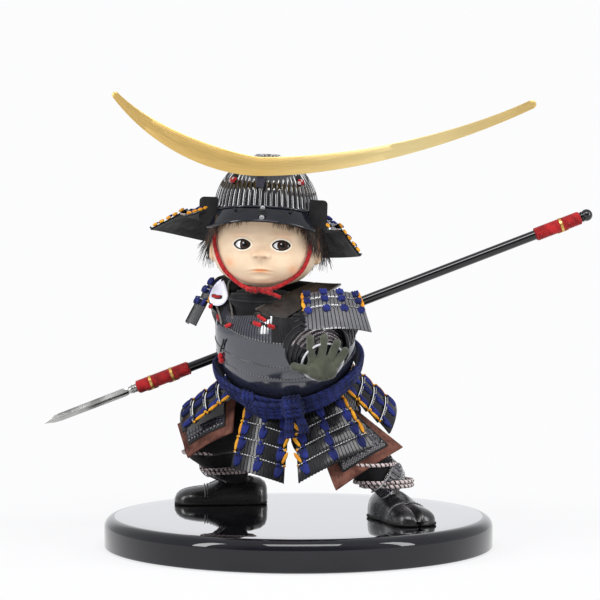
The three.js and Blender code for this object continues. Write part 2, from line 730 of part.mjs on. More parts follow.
// Guards that wrap part of a limb
function wrapSurface(from, to, facing, radii, start, length, halfAngle) {
  const axis = to.clone().sub(from).normalize();
  const out = facing.clone().addScaledVector(axis, -facing.dot(axis)).normalize();
  const side = axis.clone().cross(out);
  return (u, v) => {
    const a = deg(halfAngle * (1 - 2 * u));
    const radius = THREE.MathUtils.lerp(radii[0], radii[1], v);
    return from
      .clone()
      .addScaledVector(axis, start + length * v)
      .addScaledVector(out, radius * Math.cos(a))
      .addScaledVector(side, radius * Math.sin(a));
  };
}

// Thigh aprons: stiff sheets that bulge over the thigh between a top edge and a hem
function apronSurface(top, hem) {
  const [a, b, c, d] = [...top, ...hem].map(at);
  const out = c.clone().sub(a).cross(b.clone().sub(a)).normalize();
  return (u, v) => {
    const across = a.clone().lerp(b, u).lerp(c.clone().lerp(d, u), v);
    return across.addScaledVector(out, APRON_BULGE * Math.sin(Math.PI * THREE.MathUtils.clamp(u, 0, 1)));
  };
}
const aprons = {
  right: apronSurface(RIGHT_APRON_TOP, RIGHT_APRON_HEM),
  left: apronSurface(LEFT_APRON_TOP, LEFT_APRON_HEM),
};
for (const [side, { path, ankle }] of Object.entries(legs)) {
  const shin = at(path.at(-1));
  add(figure, `thigh_apron_${side}`, sheet(aprons[side], -APRON_THICKNESS, 8, 4), BROWN_LEATHER);
  const ankleTop = point(...ankle, ankleLevel + 4);
  const toe = point(Math.sin(deg(legs[side].yaw)), -Math.cos(deg(legs[side].yaw)), 0.2);
  const shinLength = shin.distanceTo(ankleTop) + 4;
  const guardRadii = [SHIN_RADIUS + 1.5, ANKLE_RADIUS + 1.5];
  const guard = wrapSurface(shin, ankleTop, toe, guardRadii, -4, shinLength, SHIN_GUARD_HALF_ANGLE);
  add(figure, `shin_guard_${side}`, sheet(guard, SHIN_GUARD_THICKNESS, 8, 3), LACQUER);
  const tieRadius = ANKLE_RADIUS + SHIN_GUARD_THICKNESS + ANKLE_TIE_RADIUS;
  const tie = new THREE.TorusGeometry(tieRadius, ANKLE_TIE_RADIUS, 6, 20);
  const tieFrame = frame(figure, point(...ankle, ankleLevel + ANKLE_TIE_LIFT).lerp(shin, 0.2).toArray());
  add(tieFrame, `ankle_tie_${side}`, tie, BLACK_CLOTH);
}

// Sleeves, the wire through both arms, and the hands
const leftArm = [SHOULDER_LEFT, ELBOW_LEFT, WRIST_LEFT].map(at);
const rightArm = [SHOULDER_RIGHT, ELBOW_RIGHT, WRIST_RIGHT].map(at);
const leftSleeveRadii = [UPPER_SLEEVE_RADIUS, ELBOW_RADIUS + SLEEVE_FULLNESS, CUFF_RADIUS];
const rightSleeveRadii = [UPPER_SLEEVE_RADIUS, ELBOW_RADIUS - 1, RIGHT_CUFF_RADIUS];
add(figure, "sleeve_left", limb(leftArm, leftSleeveRadii, 10, 5), BLACK_CLOTH);
add(figure, "sleeve_right", limb(rightArm, rightSleeveRadii, 10, 5), BLACK_CLOTH);

const grip = at(GRIP);
const palm = point(WRIST_LEFT[0] - 1.5, WRIST_LEFT[1] - PALM_HALF_THICKNESS - 1.5, WRIST_LEFT[2] - 3);
const armPath = [
  point(0, 1, 0).add(palm),
  ...leftArm.toReversed(),
  torso.localToWorld(point(0, 0, coreTop - 8)),
  ...rightArm,
  grip.clone().add(point(0, -1, FIST_RADIUS - 3)),
];
add(figure, "arm_wire", cordTube(armPath, ARM_WIRE_RADIUS, 6, 24), WIRE);

const FINGERS = [
  { from: [-6.5, 5], to: [-8, 18.5] },
  { from: [-0.5, 7], to: [1.5, 20] },
  { from: [5.5, 6], to: [10.5, 16] },
  { from: [8.5, 1], to: [16, 10.5] },
  { from: [-6, -5], to: [-19.5, -2] },
];
const openHand = frame(figure, palm.toArray());
const fingerGeometries = FINGERS.map(({ from, to }) => {
  const [a, b] = [point(from[0], 0, from[1]), point(to[0], -2, to[1])];
  const beyond = b.clone().addScaledVector(b.clone().sub(a).normalize(), FINGER_RADIUS * 0.6);
  return limb([a, b, beyond], [FINGER_RADIUS, FINGER_RADIUS, FINGER_RADIUS * 0.5], 8, 3);
});
const palmGeometry = ellipsoid([0, 0, 0], [PALM_HALF_WIDTH, PALM_HALF_THICKNESS, PALM_HALF_HEIGHT], 12);
add(openHand, "hand_left", joined(palmGeometry, ...fingerGeometries), GLOVE);

const spear = frame(figure, GRIP, [0, -SPEAR_SLOPE, 0]);
const fist = frame(figure, GRIP, [0, -SPEAR_SLOPE, 0]);
const fistRadii = [FIST_RADIUS * 0.9, FIST_RADIUS * 0.85, FIST_RADIUS];
add(fist, "hand_right", ellipsoid([0, 0, 1], fistRadii, 14), GLOVE);

// Spear
const shaftStart = FRONT_WRAP_END - FRONT_WRAP_LENGTH;
const sleeveInside = SHAFT_RADIUS + FIT_GAP;
const shaftEnd = REAR_WRAP_END + FIT_GAP;
add(
  spear,
  "spear_shaft",
  latheAlongX([[0, shaftStart], [SHAFT_RADIUS, shaftStart], [SHAFT_RADIUS, shaftEnd], [0, shaftEnd]], 14),
  LACQUER,
);

function wrapGeometry(start, end) {
  const rounding = 0.6;
  return latheAlongX(
    [
      [sleeveInside, start],
      [WRAP_RADIUS - rounding, start],
      [WRAP_RADIUS, start + rounding],
      [WRAP_RADIUS, end - rounding],
      [WRAP_RADIUS - rounding, end],
      [sleeveInside, end],
      [sleeveInside, start],
    ],
    14,
  );
}
add(spear, "spear_wrap_front", wrapGeometry(shaftStart, FRONT_WRAP_END), RED_CORD);
add(spear, "spear_wrap_rear", wrapGeometry(REAR_WRAP_END - REAR_WRAP_LENGTH, REAR_WRAP_END), RED_CORD);

const ferruleEnd = shaftStart - FIT_GAP;
const ferruleStart = ferruleEnd - FERRULE_LENGTH;
const ferruleProfile = [
  [0, ferruleStart],
  [BLADE_HALF_WIDTH * 0.8, ferruleStart],
  [SHAFT_RADIUS * 0.9, ferruleEnd],
  [0, ferruleEnd],
];
add(spear, "spear_ferrule", latheAlongX(ferruleProfile, 12), STEEL);

function bladeGeometry() {
  const base = ferruleStart - FIT_GAP;
  const section = (x, width, thick) => [
    point(x, 0, BLADE_HALF_WIDTH * width),
    point(x, -BLADE_HALF_THICKNESS * thick, 0),
    point(x, 0, -BLADE_HALF_WIDTH * width),
    point(x, BLADE_HALF_THICKNESS * thick, 0),
  ];
  return loft([
    section(base, 0.72, 1),
    section(base - BLADE_LENGTH * 0.05, 1, 1),
    section(base - BLADE_LENGTH * 0.8, 0.92, 0.9),
    section(base - BLADE_LENGTH * 0.95, 0.4, 0.5),
    section(base - BLADE_LENGTH, 0.06, 0.1),
  ]);
}
add(spear, "spear_blade", bladeGeometry(), STEEL);
const buttCentre = shaftEnd + FIT_GAP + BUTT_RADIUS * 0.95;
const buttRadii = [BUTT_RADIUS, BUTT_RADIUS, BUTT_RADIUS];
add(spear, "spear_butt", ellipsoid([buttCentre, 0, 0], buttRadii, 14), LACQUER);

// Shoulder guards: laced rows hinged at the shoulder
function guardGeometry() {
  const surface = panelSurface(GUARD_HALF_WIDTH, GUARD_LENGTH, GUARD_ROWS, GUARD_ROW_STEP, GUARD_BOW);
  return sheet(surface, GUARD_THICKNESS, 4, GUARD_ROWS * 2);
}
const leftGuard = frame(figure, LEFT_GUARD_HINGE, [-LEFT_GUARD_FLARE, 0, LEFT_GUARD_HEADING], "ZYX");
add(leftGuard, "shoulder_guard_left", guardGeometry(), LACQUER);
const rightGuard = frame(figure, RIGHT_GUARD_HINGE, [-RIGHT_GUARD_FLARE, 0, RIGHT_GUARD_HEADING], "ZYX");
add(rightGuard, "shoulder_guard_right", guardGeometry(), LACQUER);

const leafPlace = frame(figure, LEAF_HANGER, [-12, 18, LEAF_HEADING], "ZYX");
add(leafPlace, "leaf_plate", leafGeometry(), PALE_PLATE);

// Neck peg, which stands still while the head turns on it
const pegProfile = [
  [0, -NECK_PEG_IN_CORE],
  [NECK_PEG_RADIUS, -NECK_PEG_IN_CORE],
  [NECK_PEG_RADIUS, NECK_PEG_IN_HEAD],
  [0, NECK_PEG_IN_HEAD],
];
add(neck, "neck_peg", lathe(pegProfile, 16), WOOD);

// Throat cloth: a padded yoke from inside the breast plate up to the neck
function throatGeometry() {
  const sides = 14;
  const chestRing = (z, proud) =>
    Array.from({ length: sides }, (_, s) => onTorso((360 * s) / sides, z, proud));
  const neckRing = (z, radius) =>
    Array.from({ length: sides }, (_, s) => {
      const a = deg((360 * s) / sides + TORSO_TURN - HEAD_TURN);
      return torso.worldToLocal(neck.localToWorld(point(radius * Math.sin(a), -radius * Math.cos(a), z)));
    });
  return loft([
    chestRing(coreTop + FIT_GAP, -3 * FIT_GAP),
    chestRing(BREAST_TOP - NECKLINE_DIP, -3 * FIT_GAP),
    chestRing(BREAST_TOP, -5 * FIT_GAP),
    neckRing(-4, THROAT_RADIUS * 1.3),
    neckRing(0, THROAT_RADIUS),
    neckRing(2, THROAT_RADIUS * 0.8),
  ]);
}
add(torso, "throat_cloth", throatGeometry(), BLACK_CLOTH);

// Head: level, half width, depth in front and depth behind; the crown fits in the wig and the bowl
const crown = BOWL_RADIUS - BOWL_WALL - HAIR_THICKNESS - HAIR_PRESS;
const HEAD_OUTLINE = [
  [4, 13, 19, 9],
  [7, 22, 26, 16],
  [14, 31, 31, 23],
  [24, 35.5, 33, 29],
  [36, 35.5, 32.5, 32],
  [48, 33.5, 32, 33],
  [BOWL_RIM + 2.5, crown, crown, crown],
  [BOWL_RIM + BOWL_RISE * 0.4, crown * 0.78, crown * 0.78, crown * 0.78],
  [BOWL_RIM + BOWL_RISE * 0.62, crown * 0.42, crown * 0.42, crown * 0.42],
  [BOWL_RIM + BOWL_RISE * 0.7, crown * 0.13, crown * 0.13, crown * 0.13],
];

function headAt(z) {
  const below = HEAD_OUTLINE.findLastIndex(([level]) => level <= z);
  const k = THREE.MathUtils.clamp(below, 0, HEAD_OUTLINE.length - 2);
  const [low, high] = [HEAD_OUTLINE[k], HEAD_OUTLINE[k + 1]];
  const t = THREE.MathUtils.clamp((z - low[0]) / (high[0] - low[0]), 0, 1);
  return [1, 2, 3].map((i) => THREE.MathUtils.lerp(low[i], high[i], t));
}

// Point on the head; the heading is 0 at the nose and 90 at the doll's left ear
function onHead(heading, z, proud = 0) {
  const [halfWidth, front, back] = headAt(z);
  const a = deg(heading);
  const depth = Math.cos(a) > 0 ? front : back;
  return point((halfWidth + proud) * Math.sin(a), -(depth + proud) * Math.cos(a), z);
}

const head = frame(figure, NECK, [0, HEAD_TILT, HEAD_TURN]);
const headSides = 18;
const headRings = HEAD_OUTLINE.map(([z]) =>
  Array.from({ length: headSides }, (_, s) => onHead((360 * s) / headSides, z)),
);
const noseTip = onHead(0, EYE_LEVEL - 9);
const earOut = headAt(EAR_LEVEL)[0];
const headGeometry = joined(
  loft(headRings),
  ellipsoid(noseTip.toArray(), [3.6, 2.6, 2.8], 8),
  ellipsoid([earOut, 3, EAR_LEVEL], [3, 5, 8], 8),
  ellipsoid([-earOut, 3, EAR_LEVEL], [3, 5, 8], 8),
);
add(head, "head", headGeometry, SKIN);

for (const [side, sign] of [["right", -1], ["left", 1]]) {
  const across = (sign * EYE_SPACING) / 2;
  const [halfWidth, front] = headAt(EYE_LEVEL);
  const surface = -front * Math.sqrt(1 - (across / halfWidth) ** 2);
  const centre = [across, surface - EYE_PROUD + EYE_RADIUS, EYE_LEVEL];
  add(head, `eye_${side}`, ellipsoid(centre, [EYE_RADIUS, EYE_RADIUS, EYE_RADIUS * 0.9], 12), EYE);
}

// Wig round the sides and back of the head, shorter over the ears
function wigSurface(u, v) {
  const heading = 72 + 216 * u;
  const fromSide = THREE.MathUtils.smoothstep(Math.min(heading, 360 - heading), 106, 128);
  const foot = THREE.MathUtils.lerp(37, 13, fromSide);
  return onHead(heading, THREE.MathUtils.lerp(foot, BOWL_RIM + 6, v), 3 * FIT_GAP);
}
add(head, "hair", sheet(wigSurface, HAIR_THICKNESS, 12, 4), HAIR);

// Chin cord: from under the helmet, down the cheeks and beneath the chin, with a knot and a tail
function chinCordGeometry() {
  const proud = CHIN_CORD_RADIUS + FIT_GAP + 0.6;
  const side = [
    [70, 50],
    [64, 40],
    [60, 30],
    [56, 20],
    [52, 12],
  ];
  const place = (sign) => side.map(([heading, z]) => onHead(sign * heading, z, proud));
  const under = HEAD_OUTLINE[0][0] - CHIN_CORD_RADIUS - FIT_GAP;
  const [jaw, chin] = headAt(HEAD_OUTLINE[1][0]);
  const [lift, drop] = [CHIN_CORD_RADIUS, 3 * CHIN_CORD_RADIUS];
  const low = [
    point(-jaw * 0.5, -chin * 0.9, under + lift),
    point(0, -chin * 0.94, under),
    point(jaw * 0.5, -chin * 0.9, under + lift),
  ];
  const path = [...place(-1), ...low, ...place(1).toReversed()];
  const tail = [
    point(0, -chin, under - lift * 0.7),
    point(jaw * 0.36, -chin * 1.06, under - drop * 0.55),
    point(jaw * 0.68, -chin * 1.04, under - drop * 1.1),
  ];
  return joined(
    cordTube(path, CHIN_CORD_RADIUS, 6, 20),
    ellipsoid([0, -chin * 0.98, under], [2 * lift, 1.6 * lift, 1.4 * lift], 10),
    cordTube(tail, CHIN_CORD_RADIUS, 6, 5),
  );
}
add(head, "chin_cord", chinCordGeometry(), RED_CORD);

// Helmet bowl, hollow, with its rim on the wig
function bowlGeometry() {
  const steps = 6;
  const arc = (radius, rise) =>
    Array.from({ length: steps + 1 }, (_, i) => {
      const a = deg((90 * i) / steps);
      return [radius * Math.cos(a) ** 0.85, BOWL_RIM + rise * Math.sin(a)];
    });
  const outside = arc(BOWL_RADIUS, BOWL_RISE);
  const inside = arc(BOWL_RADIUS - BOWL_WALL, BOWL_RISE - BOWL_WALL);
  outside[steps][0] = 0;
  inside[steps][0] = 0;
  return lathe([...inside.toReversed(), ...outside], 18);
}
add(head, "helmet_bowl", bowlGeometry(), LACQUER);

// Visor: a band that slopes out from the front of the rim
function visorSurface(u, v) {
  const heading = deg(VISOR_HALF_ANGLE * (2 * u - 1));
  const fade = Math.sqrt(Math.max(0, Math.cos((heading * 90) / VISOR_HALF_ANGLE)));
  const radius = BOWL_RADIUS + FIT_GAP + 0.3 + VISOR_REACH * v ** 0.8;
  const droop = VISOR_DROOP * (2 * u - 1) ** 2 * (0.3 + 0.7 * v);
  const z = BOWL_RIM + 2.5 - VISOR_DROP * v * (0.75 + 0.25 * fade) - droop;
  return point(radius * Math.sin(heading), -radius * Math.cos(heading), z);
}
add(head, "helmet_visor", sheet(visorSurface, VISOR_THICKNESS, 16, 3), LACQUER);

// Neck guard: two lames that flare round the back; the upper one's ends turn back beside the visor
function guardLame(startHeading, from, to) {
  return (u, v) => {
    const heading = deg(startHeading + (360 - 2 * startHeading) * u);
    const spread = THREE.MathUtils.lerp(from[0], to[0], v) - BOWL_RADIUS;
    const radius = BOWL_RADIUS + spread * (1 - NECK_GUARD_DROOP * Math.sin(heading));
    const backward = Math.max(0, -Math.cos(heading)) ** 2;
    const droop = spread * (NECK_GUARD_DROOP * Math.sin(heading) + NECK_GUARD_BACK_DROOP * backward);
    const z = THREE.MathUtils.lerp(from[1], to[1], v ** 0.9) - droop;
    return point(radius * Math.sin(heading), -radius * Math.cos(heading), z);
  };
}

function turnbackGeometry(side) {
  const [w, h] = [TURNBACK_WIDTH, TURNBACK_HEIGHT];
  const corner = 3;
  const outline = new THREE.Shape();
  outline.moveTo(0, 0);
  outline.lineTo(w - corner, 0);
  outline.quadraticCurveTo(w, 0, w, corner);
  outline.lineTo(w, h - corner);
  outline.quadraticCurveTo(w, h, w - corner, h);
  outline.lineTo(0, h);
  const flat = new THREE.ExtrudeGeometry(outline, {
    depth: NECK_GUARD_THICKNESS,
    bevelEnabled: false,
    curveSegments: 4,
  }).rotateX(Math.PI / 2);
  if (side < 0) flat.rotateZ(Math.PI).translate(0, NECK_GUARD_THICKNESS, 0);
  const heading = deg(side * 56);
  const radius = BOWL_RADIUS + 2;
  const foot = [radius * Math.sin(heading), -radius * Math.cos(heading), BOWL_RIM - 10];
  return flat.rotateZ(deg(side * 14)).translate(...foot);
}

const upperFrom = [BOWL_RADIUS + FIT_GAP + 1.2, BOWL_RIM + 1.5];
const upperTo = [NECK_GUARD_MIDDLE_RADIUS, NECK_GUARD_MIDDLE_LEVEL];
const lowerFrom = [NECK_GUARD_MIDDLE_RADIUS - 2, NECK_GUARD_MIDDLE_LEVEL + 4.6];
const lowerTo = [NECK_GUARD_OUTER_RADIUS, NECK_GUARD_LOW_LEVEL];
const upperLame = sheet(guardLame(63, upperFrom, upperTo), NECK_GUARD_THICKNESS, 16, 2);
add(head, "neck_guard_upper", joined(upperLame, turnbackGeometry(1), turnbackGeometry(-1)), LACQUER);
const lowerLame = sheet(guardLame(88, lowerFrom, lowerTo), NECK_GUARD_THICKNESS, 16, 2);
add(head, "neck_guard_lower", lowerLame, LACQUER);

const finialFoot = BOWL_RIM + BOWL_RISE - 1;
const finialProfile = [
  [0, finialFoot],
  [FINIAL_RADIUS, finialFoot],
  [FINIAL_RADIUS, finialFoot + FINIAL_HEIGHT * 0.5],
  [FINIAL_RADIUS * 0.6, finialFoot + FINIAL_HEIGHT],
  [0, finialFoot + FINIAL_HEIGHT],
];
add(head, "helmet_finial", lathe(finialProfile, 16), LACQUER);

// Crest holder: a flat tongue that stands up from the front of the bowl
const holderBack = -(BOWL_RADIUS + FIT_GAP);
const holderFoot = BOWL_RIM + 15;
const holderGeometry = new THREE.BoxGeometry(HOLDER_WIDTH, HOLDER_THICKNESS, HOLDER_HEIGHT).translate(
  0,
  holderBack - HOLDER_THICKNESS / 2,
  holderFoot + HOLDER_HEIGHT / 2,
);
const holderLug = new THREE.BoxGeometry(HOLDER_WIDTH, 9, 4).translate(0, holderBack + 3.5, holderFoot + 4);
add(head, "crest_holder", joined(holderGeometry, holderLug), LACQUER);

// Crest: two curved arms of unlike length
function crestGeometry() {
  const [rx, rz, lx, lz] = [CREST_RIGHT_REACH, CREST_RIGHT_RISE, CREST_LEFT_REACH, CREST_LEFT_RISE];
  const [d, tip] = [CREST_DEPTH, CREST_TIP_DEPTH];
  const outline = new THREE.Shape();
  outline.moveTo(0, 0);
  outline.bezierCurveTo(rx * 0.33, 0, rx * 0.73, rz * 0.48, rx, rz);
  outline.quadraticCurveTo(rx + tip * 0.3, rz + tip * 0.8, rx - tip * 0.6, rz + tip);
  outline.bezierCurveTo(rx * 0.73, rz * 0.48 + d * 0.55, rx * 0.33, d, 0, d);
  outline.bezierCurveTo(-lx * 0.22, d * 1.2, -lx * 0.72, lz * 0.6, -lx + tip * 0.6, lz + tip * 0.7);
  outline.quadraticCurveTo(-lx - tip * 0.3, lz + tip * 0.7, -lx, lz);
  outline.bezierCurveTo(-lx * 0.76, lz * 0.4, -lx * 0.36, 0, 0, 0);
  const depth = CREST_THICKNESS;
  const flat = new THREE.ExtrudeGeometry(outline, { depth, bevelEnabled: false, curveSegments: 14 });
  return joined(flat.rotateX(Math.PI / 2), socketGeometry());
}

// The socket behind the crest, closed above, so that the crest rests on the holder's end
function socketGeometry() {
  const depth = HOLDER_THICKNESS + 2 * FIT_GAP + SOCKET_WALL;
  const foot = 1;
  const height = holderFoot + HOLDER_HEIGHT + FIT_GAP + SOCKET_WALL - CREST_LEVEL - foot;
  const width = HOLDER_WIDTH + 2 * (FIT_GAP + SOCKET_WALL);
  return new THREE.BoxGeometry(width, depth, height).translate(0, depth / 2, foot + height / 2);
}
const crestBack = holderBack - HOLDER_THICKNESS - FIT_GAP;
const crest = frame(head, [0, crestBack, CREST_LEVEL], [0, CREST_ROLL, 0]);
add(crest, "crest", crestGeometry(), GOLD);

// Room for each piece in the softer or larger piece that holds it
figure.updateMatrixWorld(true);
makeRoom("shoe_right", ["leg_rod_right", "shoe_screw_right"]);
makeRoom("shoe_left", ["leg_rod_left", "shoe_screw_left"]);
makeRoom("helmet_bowl", ["helmet_finial", "crest_holder"]);
makeRoom("helmet_visor", ["neck_guard_upper"]);
makeRoom("crest", ["crest_holder"]);
makeRoom("head", ["neck_peg", "eye_right", "eye_left"]);
makeRoom("hair", ["head", "helmet_bowl", "neck_guard_upper", "helmet_visor", "chin_cord"]);
const shells = ["cuirass_waist_lames", "breast_plate", "back_plate"];
const straps = ["shoulder_strap_right", "shoulder_strap_left"];
makeRoom("shoulder_strap_right", shells);
makeRoom("shoulder_strap_left", shells);
makeRoom("leaf_plate", ["shoulder_strap_right"]);
makeRoom("hand_right", ["spear_shaft", "arm_wire"]);
makeRoom("hand_left", ["arm_wire"]);
makeRoom("sash_knot", ["sash"]);
makeRoom("throat_cloth", ["neck_peg", ...straps], CLOTH_GAP + FIT_GAP);
makeRoom("throat_cloth", ["leaf_plate"]);
const trunk = ["torso_core", ...shells, ...straps, "throat_cloth", "arm_wire"];
makeRoom("sleeve_left", [...trunk, "hand_left"], CLOTH_GAP);
makeRoom("sleeve_right", [...trunk, "hand_right"], CLOTH_GAP);
for (const side of ["right", "left"]) {
  makeRoom(`shin_guard_${side}`, [`shoe_${side}`, `ankle_tie_${side}`]);
  const inside = [`leg_rod_${side}`, "torso_core", "cuirass_waist_lames"];
  const around = [`shoe_${side}`, `thigh_apron_${side}`, `shin_guard_${side}`, `ankle_tie_${side}`];
  makeRoom(`trouser_leg_${side}`, [...inside, ...around], CLOTH_GAP);
}
makeRoom("trouser_leg_left", ["trouser_leg_right"], CLOTH_GAP);
makeRoom("torso_core", ["neck_peg", "arm_wire", "leg_rod_right", "leg_rod_left"]);

export default figure;
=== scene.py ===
"""Looks of the samurai boy doll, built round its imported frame.

Lengths in this file are millimetres until a mesh is made; the frame itself is in metres.
The doll faces -Y, +X is the viewer's right, and the board stands on the floor at height 0.
"""

import random
from math import asin, atan, atan2, cos, degrees, exp, pi, radians, sin, sqrt

import bmesh
import bpy
from mathutils import Matrix, Vector, noise
from mathutils.bvhtree import BVHTree


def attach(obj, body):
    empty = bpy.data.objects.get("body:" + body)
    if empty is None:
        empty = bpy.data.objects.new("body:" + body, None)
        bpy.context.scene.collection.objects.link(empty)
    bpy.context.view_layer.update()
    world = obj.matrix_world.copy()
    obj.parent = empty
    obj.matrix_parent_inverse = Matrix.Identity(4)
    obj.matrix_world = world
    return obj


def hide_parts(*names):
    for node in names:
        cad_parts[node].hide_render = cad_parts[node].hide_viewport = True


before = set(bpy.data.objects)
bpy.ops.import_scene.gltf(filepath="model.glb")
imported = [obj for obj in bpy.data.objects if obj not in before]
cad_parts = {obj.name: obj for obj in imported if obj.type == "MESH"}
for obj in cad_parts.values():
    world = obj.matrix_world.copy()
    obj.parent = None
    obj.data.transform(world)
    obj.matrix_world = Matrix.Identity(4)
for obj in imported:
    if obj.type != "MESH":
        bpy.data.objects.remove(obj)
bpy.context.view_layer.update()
MM = 0.001

# Camera: a long lens a metre and a half in front of the doll, a little above the sash,
# tipped down by less than two degrees. Its shift and tip are in pixels of the picture.
PICTURE = 600
LENS_PIXELS = 2157
SHIFT_PIXELS = 1.5
TIP_PIXELS = 57
SENSOR = 36
camera_data = bpy.data.cameras.new("camera")
camera_data.sensor_width = SENSOR
camera_data.lens = SENSOR * LENS_PIXELS / PICTURE
camera_data.shift_x = SHIFT_PIXELS / PICTURE
camera_data.clip_end = 20
camera = bpy.data.objects.new("camera", camera_data)
camera.location = (0, -1.5, 0.211)
camera.rotation_euler = (radians(90) - atan(TIP_PIXELS / LENS_PIXELS), 0, 0)
bpy.context.collection.objects.link(camera)
bpy.context.scene.camera = camera
bpy.context.scene.view_settings.view_transform = "Standard"

# Studio: grey cloth all round, white behind and dark on the viewer's side, and soft boxes at the left,
# the right and above, whose reflections draw the ribs and edges of the lacquer.
WHITE = (0.975, 0.975, 0.985, 1)


def feed(socket, value):
    """Links a socket to another one, or sets it to a plain value."""
    if isinstance(value, bpy.types.NodeSocket):
        socket.id_data.links.new(value, socket)
    else:
        socket.default_value = value


def node(tree, kind, inputs=(), **settings):
    """The outputs of a new shader node, with its settings and what feeds its inputs."""
    made = tree.nodes.new(f"ShaderNode{kind}")
    for name, value in settings.items():
        setattr(made, name, value)
    for label, value in dict(inputs).items():
        feed(made.inputs[label], value)
    return made.outputs


def calc(operation, *values):
    """A sum over the surface, from numbers and at least one socket."""
    tree = [value for value in values if isinstance(value, bpy.types.NodeSocket)][0].id_data
    return node(tree, "Math", enumerate(values), operation=operation)[0]


def ranged(factor, low, high, start=0.3, end=0.7, ease="LINEAR"):
    """A number that runs from low to high as a mask goes from start to end."""
    span = {"Value": factor, "From Min": start, "From Max": end, "To Min": low, "To Max": high}
    return node(factor.id_data, "MapRange", span, interpolation_type=ease)["Result"]


world = bpy.data.worlds.new("studio")
bpy.context.scene.world = world
world.use_nodes = True
tree = world.node_tree
tree.nodes.clear()
ray = node(tree, "LightPath")
seen = calc("MAXIMUM", ray["Is Camera Ray"], ray["Is Transmission Ray"])
depth = node(tree, "SeparateXYZ", {0: node(tree, "TexCoord")["Generated"]})["Y"]
front = ranged(depth, 0.1, 0.62, -0.97, -0.45, "SMOOTHSTEP")
behind = ranged(depth, 0, 0.38, 0.75, 0.95, "SMOOTHSTEP")
fill = node(tree, "Background", {"Color": (0.97, 0.98, 1, 1), "Strength": 0.42})
walls = node(tree, "Background", {"Color": (0.96, 0.97, 1, 1), "Strength": calc("ADD", front, behind)})
backdrop = node(tree, "Background", {"Color": WHITE})
mirrored = node(tree, "MixShader", {0: ray["Is Glossy Ray"], 1: fill[0], 2: walls[0]})
shown = node(tree, "MixShader", {0: seen, 1: mirrored[0], 2: backdrop[0]})
node(tree, "OutputWorld", {"Surface": shown[0]})
for name, place, aim, size, power in (
    ("box_left", (-1.15, -0.75, 0.75), 0.16, (0.24, 1.1), 9),
    ("box_right", (1.2, -0.6, 0.7), 0.16, (0.24, 1.1), 8),
    ("box_above", (0.05, -0.85, 1.25), 0.15, (0.9, 0.5), 11),
):
    data = bpy.data.lights.new(name, "AREA")
    data.shape = "RECTANGLE"
    data.size, data.size_y = size
    data.energy = power
    lamp = bpy.data.objects.new(name, data)
    lamp.location = place
    lamp.rotation_euler = (Vector((0, 0, aim)) - Vector(place)).to_track_quat("-Z", "Y").to_euler()
    bpy.context.collection.objects.link(lamp)

# Floor: a wide white sweep that keeps a soft shadow under the board
# and runs out into the white of the background.


def new_finish(name, sockets=()):
    """A new material, its node tree and its shader's inputs, set where they are the same all over."""
    material = bpy.data.materials.new(name)
    material.use_nodes = True
    shader = material.node_tree.nodes["Principled BSDF"].inputs
    for label, value in dict(sockets).items():
        feed(shader[label], value)
    return material, material.node_tree, shader


bpy.ops.mesh.primitive_plane_add(size=9)
floor = bpy.context.object
floor.name = "floor"
matt = {"Base Color": (0.93, 0.93, 0.94, 1), "Roughness": 0.9, "Specular IOR Level": 0}
sweep, tree = new_finish("white_sweep", matt)[:2]
ray = node(tree, "LightPath")
seen = calc("MAXIMUM", ray["Is Camera Ray"], ray["Is Glossy Ray"])
reach = node(tree, "VectorMath", {0: node(tree, "TexCoord")["Object"]}, operation="LENGTH")["Value"]
share = calc("MULTIPLY", seen, ranged(reach, 0.8, 1, 0.13, 0.42, "SMOOTHSTEP"))
glow = node(tree, "Emission", {"Color": WHITE})
paper = tree.nodes["Principled BSDF"].outputs
lit = node(tree, "MixShader", {0: share, 1: paper[0], 2: glow[0]})
feed(tree.nodes["Material Output"].inputs["Surface"], lit[0])
floor.data.materials.append(sweep)

# Board: a turned wooden disc in many coats of black lacquer, polished to a mirror,
# with a well rounded upper edge. It stands on its felt.
BOARD_RADIUS = 135
BOARD_FOOT = 1
BOARD_TOP = 22
BOARD_ROUND = 7


def turns(count):
    """Angles spread evenly round a circle."""
    return [2 * pi * k / count for k in range(count)]


def shares(count):
    """Even steps from 0 to 1."""
    return [k / count for k in range(count + 1)]


def carried(path, hoop=False):
    """Each point of a path with two directions across it, which turn as little as they can."""
    side = (path[1] - path[0]).normalized().orthogonal().normalized()
    for i, spot in enumerate(path):
        ahead = path[(i + 1) % len(path) if hoop else min(i + 1, len(path) - 1)]
        behind = path[i - 1 if hoop else max(i - 1, 0)]
        tangent = (ahead - behind).normalized()
        side = (side - tangent * side.dot(tangent)).normalized()
        yield spot, side, tangent.cross(side)


